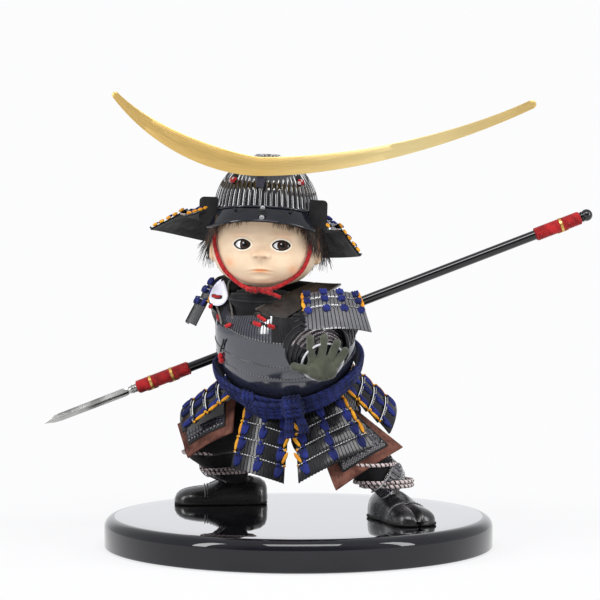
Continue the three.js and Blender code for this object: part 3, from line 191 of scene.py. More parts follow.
class Piece:
    """Points in millimetres, faces with a finish number each, and a flat map in millimetres."""

    def __init__(self):
        self.points = []
        self.faces = []
        self.finishes = []
        self.maps = []

    def grid(self, rows, finish=0, capped=True):
        """Skins closed rows of points; capped also closes the first and the last row."""
        first, count = len(self.points), len(rows[0])
        finish_at = finish if callable(finish) else lambda r, s: finish
        middle = rows[len(rows) // 2]
        across = [0]
        for s in range(count):
            across.append(across[-1] + (middle[(s + 1) % count] - middle[s]).length)
        for row in rows:
            self.points.extend(row)
        along = 0
        for r in range(len(rows) - 1):
            step = (rows[r + 1][count // 2] - rows[r][count // 2]).length
            for s in range(count):
                t = (s + 1) % count
                corners = (r * count + s, r * count + t, (r + 1) * count + t, (r + 1) * count + s)
                self.faces.append([first + k for k in corners])
                self.finishes.append(finish_at(r, s))
                u, v = across[s], across[s + 1]
                self.maps.append(((u, along), (v, along), (v, along + step), (u, along + step)))
            along += step
        for end in (0, len(rows) - 1) if capped else ():
            self.faces.append([first + end * count + s for s in range(count)])
            self.finishes.append(finish_at(0, 0))
            self.maps.append([p.xy for p in rows[end]])

    def shell(self, surface, across, along, thickness, finish=0):
        """A sheet over surface(u, v), with its thickness laid on towards du x dv."""
        step = 1e-3

        def normal(u, v):
            du = surface(min(u + step, 1), v) - surface(max(u - step, 0), v)
            dv = surface(u, min(v + step, 1)) - surface(u, max(v - step, 0))
            return du.cross(dv).normalized()

        steps_u, steps_v = (n if isinstance(n, list) else shares(n) for n in (across, along))
        rows = []
        for u in steps_u:
            under = [surface(u, v) for v in steps_v]
            over = [p + normal(u, v) * thickness for p, v in zip(under, steps_v)]
            rows.append(under + over[::-1])
        self.grid(rows, finish)

    def tube(self, path, radius, sides=8, finish=0):
        """A round cord along a path; the radius may be a list, one value for each point."""
        path = [Vector(p) for p in path]
        radii = radius if isinstance(radius, list) else [radius] * len(path)
        rows = []
        for (spot, side, other), r in zip(carried(path), radii):
            rows.append([spot + r * (cos(a) * side + sin(a) * other) for a in turns(sides)])
        self.grid(rows, finish)

    def ball(self, centre, radii, finish=0, turn=Matrix.Identity(3), sides=10, rings=7):
        """An egg-shaped bead or knot, with an optional turn."""
        rows = []
        for r in range(rings + 1):
            a = pi * (r + 0.02) / (rings + 0.04)
            units = [Vector((sin(a) * cos(b), sin(a) * sin(b), cos(a))) for b in turns(sides)]
            sized = [Vector([k * x for k, x in zip(radii, unit)]) for unit in units]
            rows.append([Vector(centre) + turn @ p for p in sized])
        self.grid(rows, finish)

    def lathe(self, profile, sides, finish=0, lying=False):
        """A turned form, upright or lying along X, from pairs of a radius and a place on its axis."""
        rows = [[Vector((r * cos(a), r * sin(a), at)) for a in turns(sides)] for r, at in profile]
        self.grid([[p.zxy if lying else p for p in row] for row in rows], finish)

    def made(
        self, name, finishes, crease, stands_for=None, slot=None, body="figure", place=Matrix.Identity(4)
    ):
        """The finished object in its place, riding on its body."""
        mesh = bpy.data.meshes.new(name)
        mesh.from_pydata([(place @ p) * MM for p in self.points], [], self.faces)
        for material in finishes:
            mesh.materials.append(material)
        mesh.polygons.foreach_set("material_index", self.finishes)
        flat_map = mesh.uv_layers.new(name="flat")
        flat_map.data.foreach_set("uv", [c for face in self.maps for corner in face for c in corner])
        work = bmesh.new()
        work.from_mesh(mesh)
        bmesh.ops.remove_doubles(work, verts=work.verts, dist=1e-6)
        bmesh.ops.recalc_face_normals(work, faces=work.faces)
        work.to_mesh(mesh)
        work.free()
        mesh.shade_smooth()
        mesh.set_sharp_from_angle(angle=radians(crease))
        piece = bpy.data.objects.new(name, mesh)
        bpy.context.collection.objects.link(piece)
        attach(piece, body)
        if stands_for:
            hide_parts(stands_for)
        return piece


def ramp(factor, *stops):
    """A colour that follows a mask through stops, each of them a position and a colour."""
    made = factor.id_data.nodes.new("ShaderNodeValToRGB")
    elements = made.color_ramp.elements
    elements[0].position = stops[0][0]
    elements[1].position = stops[-1][0]
    for position, colour in stops[1:-1]:
        elements.new(position)
    for element, (position, colour) in zip(elements, stops):
        element.color = (*colour, 1)
    feed(made.inputs["Fac"], factor)
    return made.outputs["Color"]


def mixed(factor, dark, light, low=0.35, high=0.65):
    """A colour that runs from dark to light as a mask goes from low to high."""
    return ramp(factor, (low, dark), (high, light))


def bump_from(shader, height, strength, distance):
    """Raises the surface by a height, on top of any bump that the shader already has."""
    inputs = {"Strength": strength, "Distance": distance * MM, "Height": height}
    if shader["Normal"].links:
        inputs["Normal"] = shader["Normal"].links[0].from_socket
    feed(shader["Normal"], node(height.id_data, "Bump", inputs)["Normal"])


def new_group(name, sizes, outputs):
    """An empty shader node group, the sockets of its sizes inside it, and those of what it puts out."""
    group = bpy.data.node_groups.new(name, "ShaderNodeTree")
    for label, value in sizes.items():
        socket = group.interface.new_socket(label, in_out="INPUT", socket_type="NodeSocketFloat")
        socket.default_value = value
    for label in outputs:
        group.interface.new_socket(label, in_out="OUTPUT", socket_type="NodeSocketFloat")
    return group, group.nodes.new("NodeGroupInput").outputs, group.nodes.new("NodeGroupOutput").inputs


# Mottle: slow and fine unevenness in object space, in millimetres. Slow and Fine lie about 0.5.
mottle, given, taken = new_group("mottle", {"Slow Size": 30, "Fine Size": 1}, ("Slow", "Fine"))
for speed, detail in (("Slow", 3), ("Fine", 2)):
    cloud = {"Vector": node(mottle, "TexCoord")["Object"], "Detail": detail}
    cloud["Scale"] = calc("DIVIDE", 1000, given[f"{speed} Size"])
    feed(taken[speed], node(mottle, "TexNoise", cloud)["Fac"])


def finish_of(name, group, sizes, dark, light, rough, bumps=(), sockets=(), shade="Slow", gloss="Fine"):
    """A material whose colour and roughness follow what a group puts out over the surface.

    The roughness is one number or the two ends of a range, and a bump is an output, a strength and a height.
    """
    material, tree, shader = new_finish(name, sockets)
    pattern = node(tree, "Group", enumerate(sizes), node_tree=group)
    feed(shader["Base Color"], mixed(pattern[shade], dark, light))
    feed(shader["Roughness"], ranged(pattern[gloss], *rough) if isinstance(rough, tuple) else rough)
    for output, strength, height in bumps:
        bump_from(shader, pattern[output], strength, height)
    return material


board_finishes = [
    finish_of(
        name, mottle, (45, 6), (0.005, 0.005, 0.008), (0.009, 0.009, 0.013), (0.02, 0.05),
        [("Fine", 0.02, 0.04)], {"Coat Weight": coat, "Coat Roughness": 0.015, "Coat IOR": ior, "IOR": ior},
        gloss="Slow",
    )
    for name, coat, ior in (("board_lacquer", 0.3, 1.4), ("board_mirror", 1, 1.7))
]
board = Piece()
inward = [(BOARD_RADIUS * k / 6, BOARD_TOP) for k in (0.3, 1.5, 3, 5)]
rounded_edge = [
    (BOARD_RADIUS - BOARD_ROUND * (1 - cos(a)), BOARD_TOP - BOARD_ROUND * (1 - sin(a)))
    for a in [radians(90 * i / 12) for i in range(12, -1, -1)]
]
foot = [
    (BOARD_RADIUS, BOARD_FOOT + 1.2), (BOARD_RADIUS - 0.35, BOARD_FOOT + 0.35),
    (BOARD_RADIUS - 1.2, BOARD_FOOT), (BOARD_RADIUS * 0.5, BOARD_FOOT), (0.4, BOARD_FOOT),
]
board.lathe(inward + rounded_edge + foot, 160, lambda r, s: int(r < len(inward)))
board.made("board", board_finishes, 60, "base_board", "board_lacquer")

# Felt: a die-cut disc of black wool felt, glued under the board
# so that it does not scratch the shelf.
FELT_RADIUS = 129
felt = finish_of(
    "felt", mottle, (12, 0.5), (0.02, 0.02, 0.023), (0.05, 0.05, 0.056), 0.95, [("Fine", 0.6, 0.3)],
    {"Sheen Weight": 0.4}, shade="Fine",
)
disc = Piece()
disc.lathe([(0.4, 0), (FELT_RADIUS - 0.2, 0), (FELT_RADIUS, 0.3), (FELT_RADIUS - 0.1, 0.9), (0.4, 0.95)], 96)
felt_disc = disc.made("felt_disc", [felt], 40, "base_felt", "base_felt")

# Shoes: split-toed boots of thin black leather, sewn up the front and round the toe,
# on a flat leather sole. A screw through the board and a rod in the leg hold each one.
BOARD_FACE = BOARD_TOP + 0.3
SHOE_HEIGHT = 20
SHOE_PLACES = {"right": ((-43, 64), -86), "left": ((64, -25), 22)}
SOLE_TOP = 2.2
CLEFT_START = -22
CAP_SEAM = -24

# Leather: a fine net of creases with slow wear; Height for the bump, Shade about 0.5.
leather_grain, given, taken = new_group("leather_grain", {"Grain Size": 0.8}, ("Height", "Shade"))
place = node(leather_grain, "TexCoord")["Object"]
scale = calc("DIVIDE", 1000, given["Grain Size"])
pebbles = node(leather_grain, "TexVoronoi", {"Vector": place, "Scale": scale}, feature="DISTANCE_TO_EDGE")
wear = node(leather_grain, "TexNoise", {"Vector": place, "Scale": 140, "Detail": 4})
feed(taken["Height"], pebbles["Distance"])
feed(taken["Shade"], wear["Fac"])


def leather(name, dark, light, rough, grain, coat=0.0):
    return finish_of(
        name, leather_grain, (grain,), dark, light, (rough + 0.1, rough - 0.08),
        [("Height", 0.25, 0.25), ("Shade", 0.5, 1.5)],
        {"Coat Weight": coat, "Coat Roughness": 0.25, "Specular IOR Level": 0.3}, "Shade", "Shade",
    )


shoe_finishes = [
    leather("shoe_leather", (0.003, 0.003, 0.0035), (0.009, 0.009, 0.01), 0.28, 0.7, 0.9),
    leather("sole_leather", (0.006, 0.006, 0.006), (0.014, 0.013, 0.012), 0.55, 0.9),
    leather("shoe_thread", (0.05, 0.05, 0.052), (0.2, 0.2, 0.205), 0.45, 0.5),
]
METAL = {"Metallic": 1}
steel_dull = finish_of(
    "steel_dull", mottle, (8, 0.4), (0.36, 0.36, 0.35), (0.48, 0.48, 0.47), (0.3, 0.5), sockets=METAL
)

# Cross sections of the upper from heel to toe: place, half width, height
SHOE_SECTIONS = [
    (20.0, 5.5, 12.0), (18.5, 9.5, 15.6), (15.0, 11.6, 18.2), (8.0, 12.7, 19.9), (0.0, 13.0, 20.2),
    (-6.0, 13.0, 19.6), (-12.0, 13.0, 18.0), (-18.0, 13.3, 15.8), (-24.0, 13.9, 13.9), (-30.0, 14.4, 12.8),
    (-35.0, 14.5, 12.0), (-39.5, 13.9, 11.0), (-43.0, 12.2, 9.4), (-45.5, 9.2, 7.2), (-47.0, 5.0, 4.4),
]
INSTEP = SHOE_SECTIONS[5:9]


def on_shoe(section, turn, lift=0.0):
    """A point on the upper; turn runs from 0 at the left sole edge over the top to 1 at the right."""
    y, half_width, height = section
    x = half_width * cos(pi * turn)
    z = SOLE_TOP + (height - SOLE_TOP) * abs(sin(pi * turn)) ** 0.72
    if y < CLEFT_START:
        deep = min(1, (CLEFT_START - y) / 14)
        z -= 4.6 * deep * exp(-((abs(x + 1.2) / 1.9) ** 2)) * (z / height)
    if abs(y - CAP_SEAM) < 3:
        z -= 0.5 * exp(-(((y - CAP_SEAM) / 1.2) ** 2))
    return Vector((x * (1 + lift / half_width), y, z + lift))


def smooth(points, steps):
    """Points along a curve through the given points."""
    points = [Vector(p) for p in points]
    points = [points[0] * 2 - points[1], *points, points[-1] * 2 - points[-2]]
    path = []
    for a, b, c, d in zip(points, points[1:], points[2:], points[3:]):
        for t in shares(steps)[:-1]:
            curved = (2 * a - 5 * b + 4 * c - d) * t ** 2 + (3 * b - a - 3 * c + d) * t ** 3
            path.append(0.5 * (2 * b + (c - a) * t + curved))
    return path + [points[-2]]


def placed(spot, x=0, y=0, z=0):
    """A place with a turn in degrees, about Z first, then Y, then X."""
    spin = Matrix.Rotation(radians(x), 4, "X") @ Matrix.Rotation(radians(y), 4, "Y")
    return Matrix.Translation(spot) @ spin @ Matrix.Rotation(radians(z), 4, "Z")


def refinish(name, material):
    """Gives its finish to a node of the frame that stays as it is."""
    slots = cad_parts[name].data.materials
    slots.clear()
    slots.append(material)


for side, (ankle, yaw) in SHOE_PLACES.items():
    boot = Piece()
    rows = []
    for section in SHOE_SECTIONS:
        row = [on_shoe(section, t) for t in shares(32)]
        rows.append([Vector((*row[0].xy, 1.4)), *row, Vector((*row[-1].xy, 1.4))])
    boot.grid(rows)
    border = [(half_width * 1.04 + 0.3, y) for y, half_width, height in SHOE_SECTIONS]
    border += [(-x, y) for x, y in border[::-1]]
    sole = ((0.0, 0.985, 0.985), (0.4, 1, 1), (1.5, 1, 1), (1.9, 0.97, 0.985))
    boot.grid([[Vector((x * wide, y * long, z)) for x, y in border] for z, wide, long in sole], 1)
    boot.tube([on_shoe((-25.2, 14.1, 13.7), k / 24, 0.15) for k in range(2, 23)], 0.42, 6, 2)
    for seam in (-25.2, -23.4):
        for k in range(3, 38, 2):
            boot.ball(on_shoe((seam, 14.0, 13.9), k / 40, 0.25), (0.75, 0.5, 0.5), 2, sides=6, rings=4)
    boot.tube(smooth([on_shoe(section, 0.53, 0.1) for section in INSTEP], 5), 0.4, 6, 2)
    for behind, ahead in zip(INSTEP, INSTEP[1:]):
        for t in (0.2, 0.5, 0.8):
            section = [a + (b - a) * t for a, b in zip(behind, ahead)]
            boot.ball(on_shoe(section, 0.53, 0.05), (2.3, 0.5, 0.5), 2, sides=6, rings=4)
    boot.tube([(0, 20.1 - 0.9 * (k / 6) ** 2, 2.5 + 1.6 * k) for k in range(7)], 0.4, 6, 2)
    place = placed((*ankle, BOARD_FACE), z=yaw)
    boot.made(f"boot_{side}", shoe_finishes, 70, f"shoe_{side}", "shoe_leather", place=place)
    refinish(f"shoe_screw_{side}", steel_dull)
    refinish(f"leg_rod_{side}", steel_dull)

# Trousers: black cotton stuffed round the leg rods, gathered at the knee and the ankle.
# A woven cloth finish is shared by all the doll's plain cloth.
LEG_PATHS = {
    "right": [(-14, 12, 92), (-42, 21, 82), (-68, 31, 71), (-57, 47, 56), (-43, 64, 42)],
    "left": [(9, 3, 92), (28, -16, 78), (46, -34, 62), (56, -30, 52), (64, -25, 42)],
}
LEG_RADII = [16, 18, 15, 12.5, 10.6]
SEAT_RADII = [24, 19]
SEAT_DROP = 8


def flat_axes(tree):
    """The two directions of a piece's flat map."""
    return node(tree, "SeparateXYZ", {0: node(tree, "UVMap", uv_map="flat")["UV"]})


# Weave: crossing threads on the flat map, in millimetres; Height for the bump and Shade for colour.
weave, given, taken = new_group("weave", {"Thread": 0.5}, ("Height", "Shade"))
ridges = []
for axis in ("X", "Y"):
    threads = calc("DIVIDE", flat_axes(weave)[axis], given["Thread"])
    ridges.append(calc("SINE", calc("MULTIPLY", threads, pi)))
crossing = calc("MULTIPLY", *ridges)
feed(taken["Height"], calc("MULTIPLY_ADD", crossing, 0.5, 0.5))
faded = node(weave, "TexNoise", {"Vector": node(weave, "TexCoord")["Object"], "Scale": 90})
feed(taken["Shade"], faded["Fac"])


def cloth(name, dark, light, thread, sheen=0.25, rough=0.85):
    return finish_of(
        name, weave, (thread,), dark, light, (rough + 0.06, rough - 0.06), [("Height", 0.5, 0.2)],
        {"Sheen Weight": sheen, "Sheen Roughness": 0.4, "Specular IOR Level": 0.25}, "Shade", "Shade",
    )


black_cotton = cloth("black_cotton", (0.006, 0.006, 0.007), (0.014, 0.014, 0.016), 0.45, 0.12)


def between(values, at):
    """The value at a place between two of a list."""
    k = min(int(at), len(values) - 2)
    return values[k] + (values[k + 1] - values[k]) * (at - k)


def stuffed(line, radii, sides, fold_depth, seed):
    """Rows of a stuffed cloth tube along a line, with uneven folds."""
    rows = []
    for i, (centre, side, other) in enumerate(carried(line)):
        radius = between(radii, i / (len(line) - 1) * (len(radii) - 1))
        ring = []
        for a in turns(sides):
            out = cos(a) * side + sin(a) * other
            folds = noise.noise(Vector((seed + i * 0.42, cos(a) * 1.5, sin(a) * 1.5)))
            ring.append(centre + out * radius - out * fold_depth * (0.6 + folds))
        rows.append(ring)
    return rows


def pressed(rows, centres, neighbours, clearance):
    """Draws the rows of a cloth tube in where a neighbouring node would touch them."""
    trees = []
    for name in neighbours:
        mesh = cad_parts[name].data
        faces = [face.vertices for face in mesh.polygons]
        trees.append(BVHTree.FromPolygons([corner.co for corner in mesh.vertices], faces))
    for ring, centre in zip(rows, centres):
        for s, spot in enumerate(ring):
            out = spot - centre
            for tree in trees:
                hit = tree.ray_cast(centre * MM, out.normalized(), (out.length + clearance) * MM)
                if hit[0] is not None:
                    room = max(hit[3] / MM - clearance, 1)
                    if room < (ring[s] - centre).length:
                        ring[s] = centre + out.normalized() * room


for side, path in LEG_PATHS.items():
    seat = Vector(path[0]) - Vector((0, 0, SEAT_DROP))
    line = smooth([seat, *path[1:]], 9)
    rows = stuffed(line, SEAT_RADII + LEG_RADII[2:], 32, 1.3, 3.0)
    pressed(rows, line, [f"{name}_{side}" for name in ("thigh_apron", "shin_guard", "ankle_tie")], 0.8)
    leg = Piece()
    leg.grid(rows)
    trousers = leg.made(f"trousers_{side}", [black_cotton], 80, f"trouser_leg_{side}", "black_cloth")
    rounded = trousers.modifiers.new("rounded", "SUBSURF")
    rounded.levels = 1
    rounded.render_levels = 1

# Shin guards: upright splints of lacquered steel on black mail, bent round the shin.
# The mail is fine iron rings sewn on cloth, and the guard is tied on above and below.
ANKLE_TOP = BOARD_TOP + SHOE_HEIGHT + 4
SHIN_HALF_ANGLE = 75
SPLINTS = 9

# Mail: two crossed rows of rings on the flat map; Height runs from the cloth to the crown of a ring.
mail_rings, given, taken = new_group("mail_rings", {"Ring": 1.8}, ("Height",))
crowns = []
for shift in (0.0, 0.5):
    squares = []
    for axis in ("X", "Y"):
        count = calc("DIVIDE", flat_axes(mail_rings)[axis], given["Ring"])
        part = calc("FRACT", calc("ADD", count, shift))
        squares.append(calc("POWER", calc("SUBTRACT", part, 0.5), 2))
    from_centre = calc("SQRT", calc("ADD", *squares))
    off_wire = calc("ABSOLUTE", calc("SUBTRACT", from_centre, 0.34))
    crowns.append(calc("MAXIMUM", calc("MULTIPLY_ADD", off_wire, -7, 1), 0))
feed(taken["Height"], calc("MAXIMUM", *crowns))


def mail(name, wire, ring, rough=0.3):
    material, tree, shader = new_finish(name)
    height = node(tree, "Group", {"Ring": ring}, node_tree=mail_rings)["Height"]
    feed(shader["Base Color"], mixed(height, (0.006, 0.006, 0.007), wire, 0.1, 0.4))
    feed(shader["Metallic"], ranged(height, 0, 1, 0.15, 0.35))
    feed(shader["Roughness"], ranged(height, 0.8, rough, 0.1, 0.4))
    bump_from(shader, height, 0.9, 0.5)
    return material


def lacquer(name, colour, rough=0.12, ior=1.7, slow=14, coat=1):
    """Polished lacquer over steel plates, a little uneven from the brush."""
    return finish_of(
        name, mottle, (slow, 1.2), colour, [1.5 * c for c in colour], (rough * 0.7, rough * 1.4),
        [("Fine", 0.05, 0.08)], {"IOR": ior, "Coat Weight": coat, "Coat Roughness": rough * 0.5},
        gloss="Slow",
    )


black_mail = mail("black_mail", (0.75, 0.73, 0.73), 1.9)
plate_lacquer = lacquer("plate_lacquer", (0.024, 0.023, 0.034), 0.12, 1.72)
edge_metal = lacquer("edge_metal", (0.16, 0.16, 0.17), 0.22)
for side, path in LEG_PATHS.items():
    ankle, yaw = SHOE_PLACES[side]
    start, end = Vector(path[3]), Vector((*ankle, ANKLE_TOP))
    axis = (end - start).normalized()
    out = Vector((sin(radians(yaw)), -cos(radians(yaw)), 0.2))
    out = (out - axis * out.dot(axis)).normalized()
    across = axis.cross(out)
    length = (end - start).length + 4

    def bent(u, v, lift=0.0):
        a = radians(SHIN_HALF_ANGLE * (1 - 2 * u))
        r = 14 - 1.5 * v + lift
        return start + axis * (length * v - 4) + out * (r * cos(a)) + across * (r * sin(a))

    guard = Piece()
    guard.shell(bent, 28, 8, 1.0)
    for k in range(SPLINTS):
        def splint(u, v):
            return bent((k + 0.5) / SPLINTS + (u - 0.5) * 0.075, 0.04 + 0.62 * v, 1.0 - 0.5 * abs(2 * u - 1))

        guard.shell(splint, 4, 3, 0.7, 1)
    for level in (0.02, 0.7):
        guard.tube([bent(u, level, 1.2) for u in shares(28)], 0.5, 6, 2)
    finishes = [black_mail, plate_lacquer, edge_metal]
    guard.made(f"shin_splints_{side}", finishes, 40, f"shin_guard_{side}", "armour_lacquer")

# Leg ties: cords braided from pinkish white and black silk, tied round each leg.
# A double one holds the guard at the ankle and a single one sits below the knee.
ANKLE_TIE_RADIUS = 13.9
GUARD_FACE = 15.4
KNEE_TIE_LEVELS = {"right": 62.5, "left": 61}
LEG_STEPS = 12
pale_silk = cloth("pale_silk", (0.5, 0.4, 0.4), (0.72, 0.62, 0.61), 0.4, 0.3, 0.7)
black_silk = cloth("black_silk", (0.008, 0.008, 0.009), (0.02, 0.02, 0.022), 0.4, 0.3, 0.7)


def twisted(piece, path, radius, pitch, finishes, hoop=False):
    """Strands twisted round one another along a path."""
    path = [Vector(p) for p in path]
    strand = radius / (1 + 1 / sin(pi / len(finishes)))
    travelled = [0.0]
    for a, b in zip(path, path[1:]):
        travelled.append(travelled[-1] + (b - a).length)
    whole = travelled[-1] + ((path[0] - path[-1]).length if hoop else 0)
    twists = max(1, round(whole / pitch))
    for k, finish in enumerate(finishes):
        line = []
        for far, (spot, one, two) in zip(travelled, carried(path, hoop)):
            a = 2 * pi * (twists * far / whole + k / len(finishes))
            line.append(spot + (radius - strand) * (cos(a) * one + sin(a) * two))
        piece.tube(line + line[:1] if hoop else line, strand * 1.12, 6, finish)


def leg_ring(path, middle, lift, count, least=lambda way: 0):
    """A level ring raised off the lower half of a leg, and no smaller than least says for a direction."""
    line = smooth(path, LEG_STEPS)
    sizes = [between(LEG_RADII, i / LEG_STEPS) for i in range(len(line))]
    knee = 2 * LEG_STEPS
    ring = []
    for a in turns(count):
        way = Vector((cos(a), sin(a), 0))
        near, far = 0.0, 40.0
        for step in range(18):
            half = (near + far) / 2
            tried = middle + way * half
            inside = any((tried - spot).length < size for spot, size in zip(line[knee:], sizes[knee:]))
            near, far = (half, far) if inside else (near, half)
        ring.append(middle + way * max(least(way), near + lift))
    return ring


for side, path in LEG_PATHS.items():
    ankle, yaw = SHOE_PLACES[side]

    def over_guard(way):
        ahead = way.dot((sin(radians(yaw)), -cos(radians(yaw)), 0))
        return ANKLE_TIE_RADIUS + (GUARD_FACE - ANKLE_TIE_RADIUS) * max(0, min(1, 0.5 + 1.6 * ahead))

    tie = Piece()
    for lift in (-1.45, 1.45):
        middle = Vector((*ankle, ANKLE_TOP)).lerp(Vector(path[3]), 0.2) + Vector((0, 0, lift))
        ring = leg_ring(path, middle, 0.8, 140, over_guard)
        twisted(tie, ring, 1.5, 3.4, [0, 1, 0], True)
    tie.made(f"ankle_braid_{side}", [pale_silk, black_silk], 60, f"ankle_tie_{side}", "ankle_cord")
for side, path in LEG_PATHS.items():
    line = smooth(path, LEG_STEPS)
    middle = min(line[len(line) // 2:], key=lambda p: abs(p.z - KNEE_TIE_LEVELS[side])).copy()
    middle.z = KNEE_TIE_LEVELS[side]
    tie = Piece()
    twisted(tie, leg_ring(path, middle, 0.7, 120), 1.4, 3.4, [0, 1, 0], True)
    tie.made(f"knee_braid_{side}", [pale_silk, black_silk], 60, slot="ankle_cord")

# Trunk: a carved core wrapped in black cotton, which leans forward over the front knee.
# The armour is laced round it, and the neck peg, the arm wire and the leg rods go into it.
TORSO_TURN = -28
torso = placed((-5, 2, 113), 22, -7, TORSO_TURN)

# Each line of the outline is a level with its half width and half depth.
TORSO_OUTLINE = [
    (-26, 26, 23), (-9, 38, 34), (4, 40, 36), (18, 45, 40), (33, 47.5, 42), (47, 46.5, 40.5), (58, 44, 36.5),
    (66, 38, 30), (72, 27, 20),
]


def table_at(table, z):
    """The other columns of a table of levels, at a level between its rows."""
    k = 0
    while k < len(table) - 2 and table[k + 1][0] <= z:
        k += 1
    low, high = table[k], table[k + 1]
    t = min(max((z - low[0]) / (high[0] - low[0]), 0), 1)
    return [a + (b - a) * t for a, b in zip(low[1:], high[1:])]


def eased(table, z, step):
    """The same, evened out over the levels near by."""
    near = [table_at(table, z + k * step) for k in (-3, -1, 1, 3)]
    return [sum(column) / len(near) for column in zip(*near)]


def at_heading(heading, z, wide, deep):
    """A point about an upright axis; heading 0 is the front and 90 the doll's left side."""
    a = radians(heading)
    return Vector((wide * sin(a), -deep * cos(a), z))


def on_torso(heading, z, proud=0.0):
    half_width, half_depth = eased(TORSO_OUTLINE, z, 1)
    return at_heading(heading, z, half_width + proud, half_depth + proud)


core = Piece()
levels = (-26, -22, -16, -9, 0, 9, 18, 26, 33, 40, 47, 51.5)
core.grid([[on_torso(6 * s, z, -1.2) for s in range(60)] for z in levels])
wrap = core.made("core_wrap", [black_cotton], 50, "torso_core", "black_cloth", place=torso)

# Cuirass: steel lames in black lacquer laced edge over edge round the waist, with a breast plate
# and a back plate of narrow upright scales above them. Each edge is bound with a twisted cord.
BAND_TOP = 33
BAND_SEAM = 24
SCALE_FOOT = 50
SASH_LEVEL = 14
SASH_HEIGHT = 14
FASTENINGS = [(-50, 58.5, 2.6), (2, 62.5, 3.4), (16, 61.5, 2.6)]
BREAST_EDGE = [(-66, 67), (-50, 66), (-40, 63.5), (-30, 62.5), (-8, 65), (16, 65.5), (46, 63)]
BACK_EDGE = [(130, 64), (155, 62.5), (180, 62), (205, 62.5), (230, 64)]
# The faint blue in the cuirass's black lacquer is a painted reflection.
cuirass_lacquer = lacquer("cuirass_lacquer", (0.018, 0.02, 0.034), 0.14, 1.9, 30, 0.2)
cord_black = cloth("cord_black", (0.008, 0.008, 0.009), (0.02, 0.02, 0.02), 0.4, 0.2)
# The cuirass's edge cords are black; their grey strand is a painted highlight.
cord_painted_highlight = cloth("cord_painted_highlight", (0.13, 0.13, 0.14), (0.28, 0.28, 0.3), 0.4, 0.2)
cord_white = cloth("cord_white", (0.5, 0.5, 0.52), (0.8, 0.8, 0.82), 0.4, 0.2)
red_silk = cloth("red_silk", (0.3, 0.006, 0.008), (0.55, 0.016, 0.02), 0.5, 0.35, 0.65)
chest_finishes = [cuirass_lacquer, cord_black, cord_painted_highlight, black_silk, red_silk]


def sash_dip(heading):
    return 10 * max(0, cos(radians(heading + TORSO_TURN))) ** 2


def hem_level(heading):
    return SASH_LEVEL - sash_dip(heading) - SASH_HEIGHT / 2 - 1.5


def line_rise(heading):
    """How much the lames' lines climb towards the doll's right side."""
    far = 31 - heading
    climb = sin(radians(max(0, far * 0.97))) if far < 93 else max(0, 1 - (far - 93) / 70)
    return 7.5 * climb ** 1.2


def finely(path, step):
    """The same line in even steps."""
    path = [Vector(p) for p in path]
    spots = [path[0]]
    left = step
    for a, b in zip(path, path[1:]):
        done = 0.0
        gap = (b - a).length
        while gap - done >= left:
            done += left
            spots.append(a.lerp(b, done / gap))
            left = step
        left -= gap - done
    return spots


def dotted(piece, path, one, other, radius=0.5, step=0.55):
    """An edge cord of two strands, which shows as a row of dots."""
    piece.tube(finely(path, step), radius, 6, lambda r, s: (one, other)[(r // 2 + s // 3) % 2])


band = Piece()
rows = []
for heading in range(0, 361, 3):
    hem = hem_level(heading) - 3
    lift = line_rise(heading if heading < 180 else heading - 360)
    edges = [hem, hem + (BAND_SEAM - hem) * 0.5, BAND_SEAM + lift, BAND_TOP + lift]
    profile = [on_torso(heading, BAND_TOP + lift), on_torso(heading, hem)]
    for low, high in zip(edges, edges[1:]):
        for t, proud in ((0, 2.0), (0.03, 2.4), (0.5, 2.15), (0.97, 1.9), (1, 1.7)):
            profile.append(on_torso(heading, low + (high - low) * t, proud))
    rows.append(profile)
band.grid(rows, capped=False)
for level in (BAND_SEAM, BAND_TOP + 0.3):
    dotted(band, [on_torso(h, level + line_rise(h), 2.2) for h in range(-180, 181, 3)], 1, 2)
band.made("waist_lames", chest_finishes[:3], 30, "cuirass_waist_lames", "armour_lacquer", place=torso)


def scale_steps(scales):
    """Steps across a row of scales, four to each."""
    return [(k + t) / scales for k in range(scales) for t in (0, 0.1, 0.18, 0.94)] + [1]


def scale_rise(place, count):
    """Outline of a row of narrow scales that lap one another: 0 in the grooves, up to 1 at their edges."""
    t = place * count % 1
    return 0 if t < 0.11 or t > 0.99 else 0.6 + 0.4 * t


def chest_plate(middle, half_angle, top_edge, scales, last):
    """A plate with a field of scales as far as the turn given last."""
    plate = Piece()
    steps = scale_steps(scales)

    def turn_at(u):
        return middle + half_angle * (2 * u - 1)

    def top_at(u):
        return table_at(top_edge, turn_at(u))[0]

    def foot_at(u):
        return SCALE_FOOT + line_rise(turn_at(u))

    def lower(u, v):
        low = BAND_TOP + 0.6 + line_rise(turn_at(u))
        return on_torso(turn_at(u), low + (foot_at(u) - low) * v, 0.5 * (1 - v))

    def upper(u, v):
        z = foot_at(u) + (top_at(u) - foot_at(u)) * v
        return on_torso(turn_at(u), z, 0.1 + 0.75 * scale_rise(u, scales))

    plate.shell(lower, 48, 5, 1.7)
    plate.shell(upper, steps, 5, 1.5, lambda r, s: 0 if r % 4 == 2 and turn_at(r / len(steps)) < last else 3)
    dotted(plate, [on_torso(turn_at(u), foot_at(u), 2.5) for u in shares(60)], 1, 2)
    plate.tube([on_torso(turn_at(u), top_at(u), 1.2) for u in shares(60)], 1.1, 8, 3)
    for u in (0.0, 1.0):
        low = BAND_TOP + 1 + line_rise(turn_at(u))
        plate.tube([on_torso(turn_at(u), low + (top_at(u) - low) * t, 1.2) for t in shares(12)], 1.0, 8, 3)
    return plate


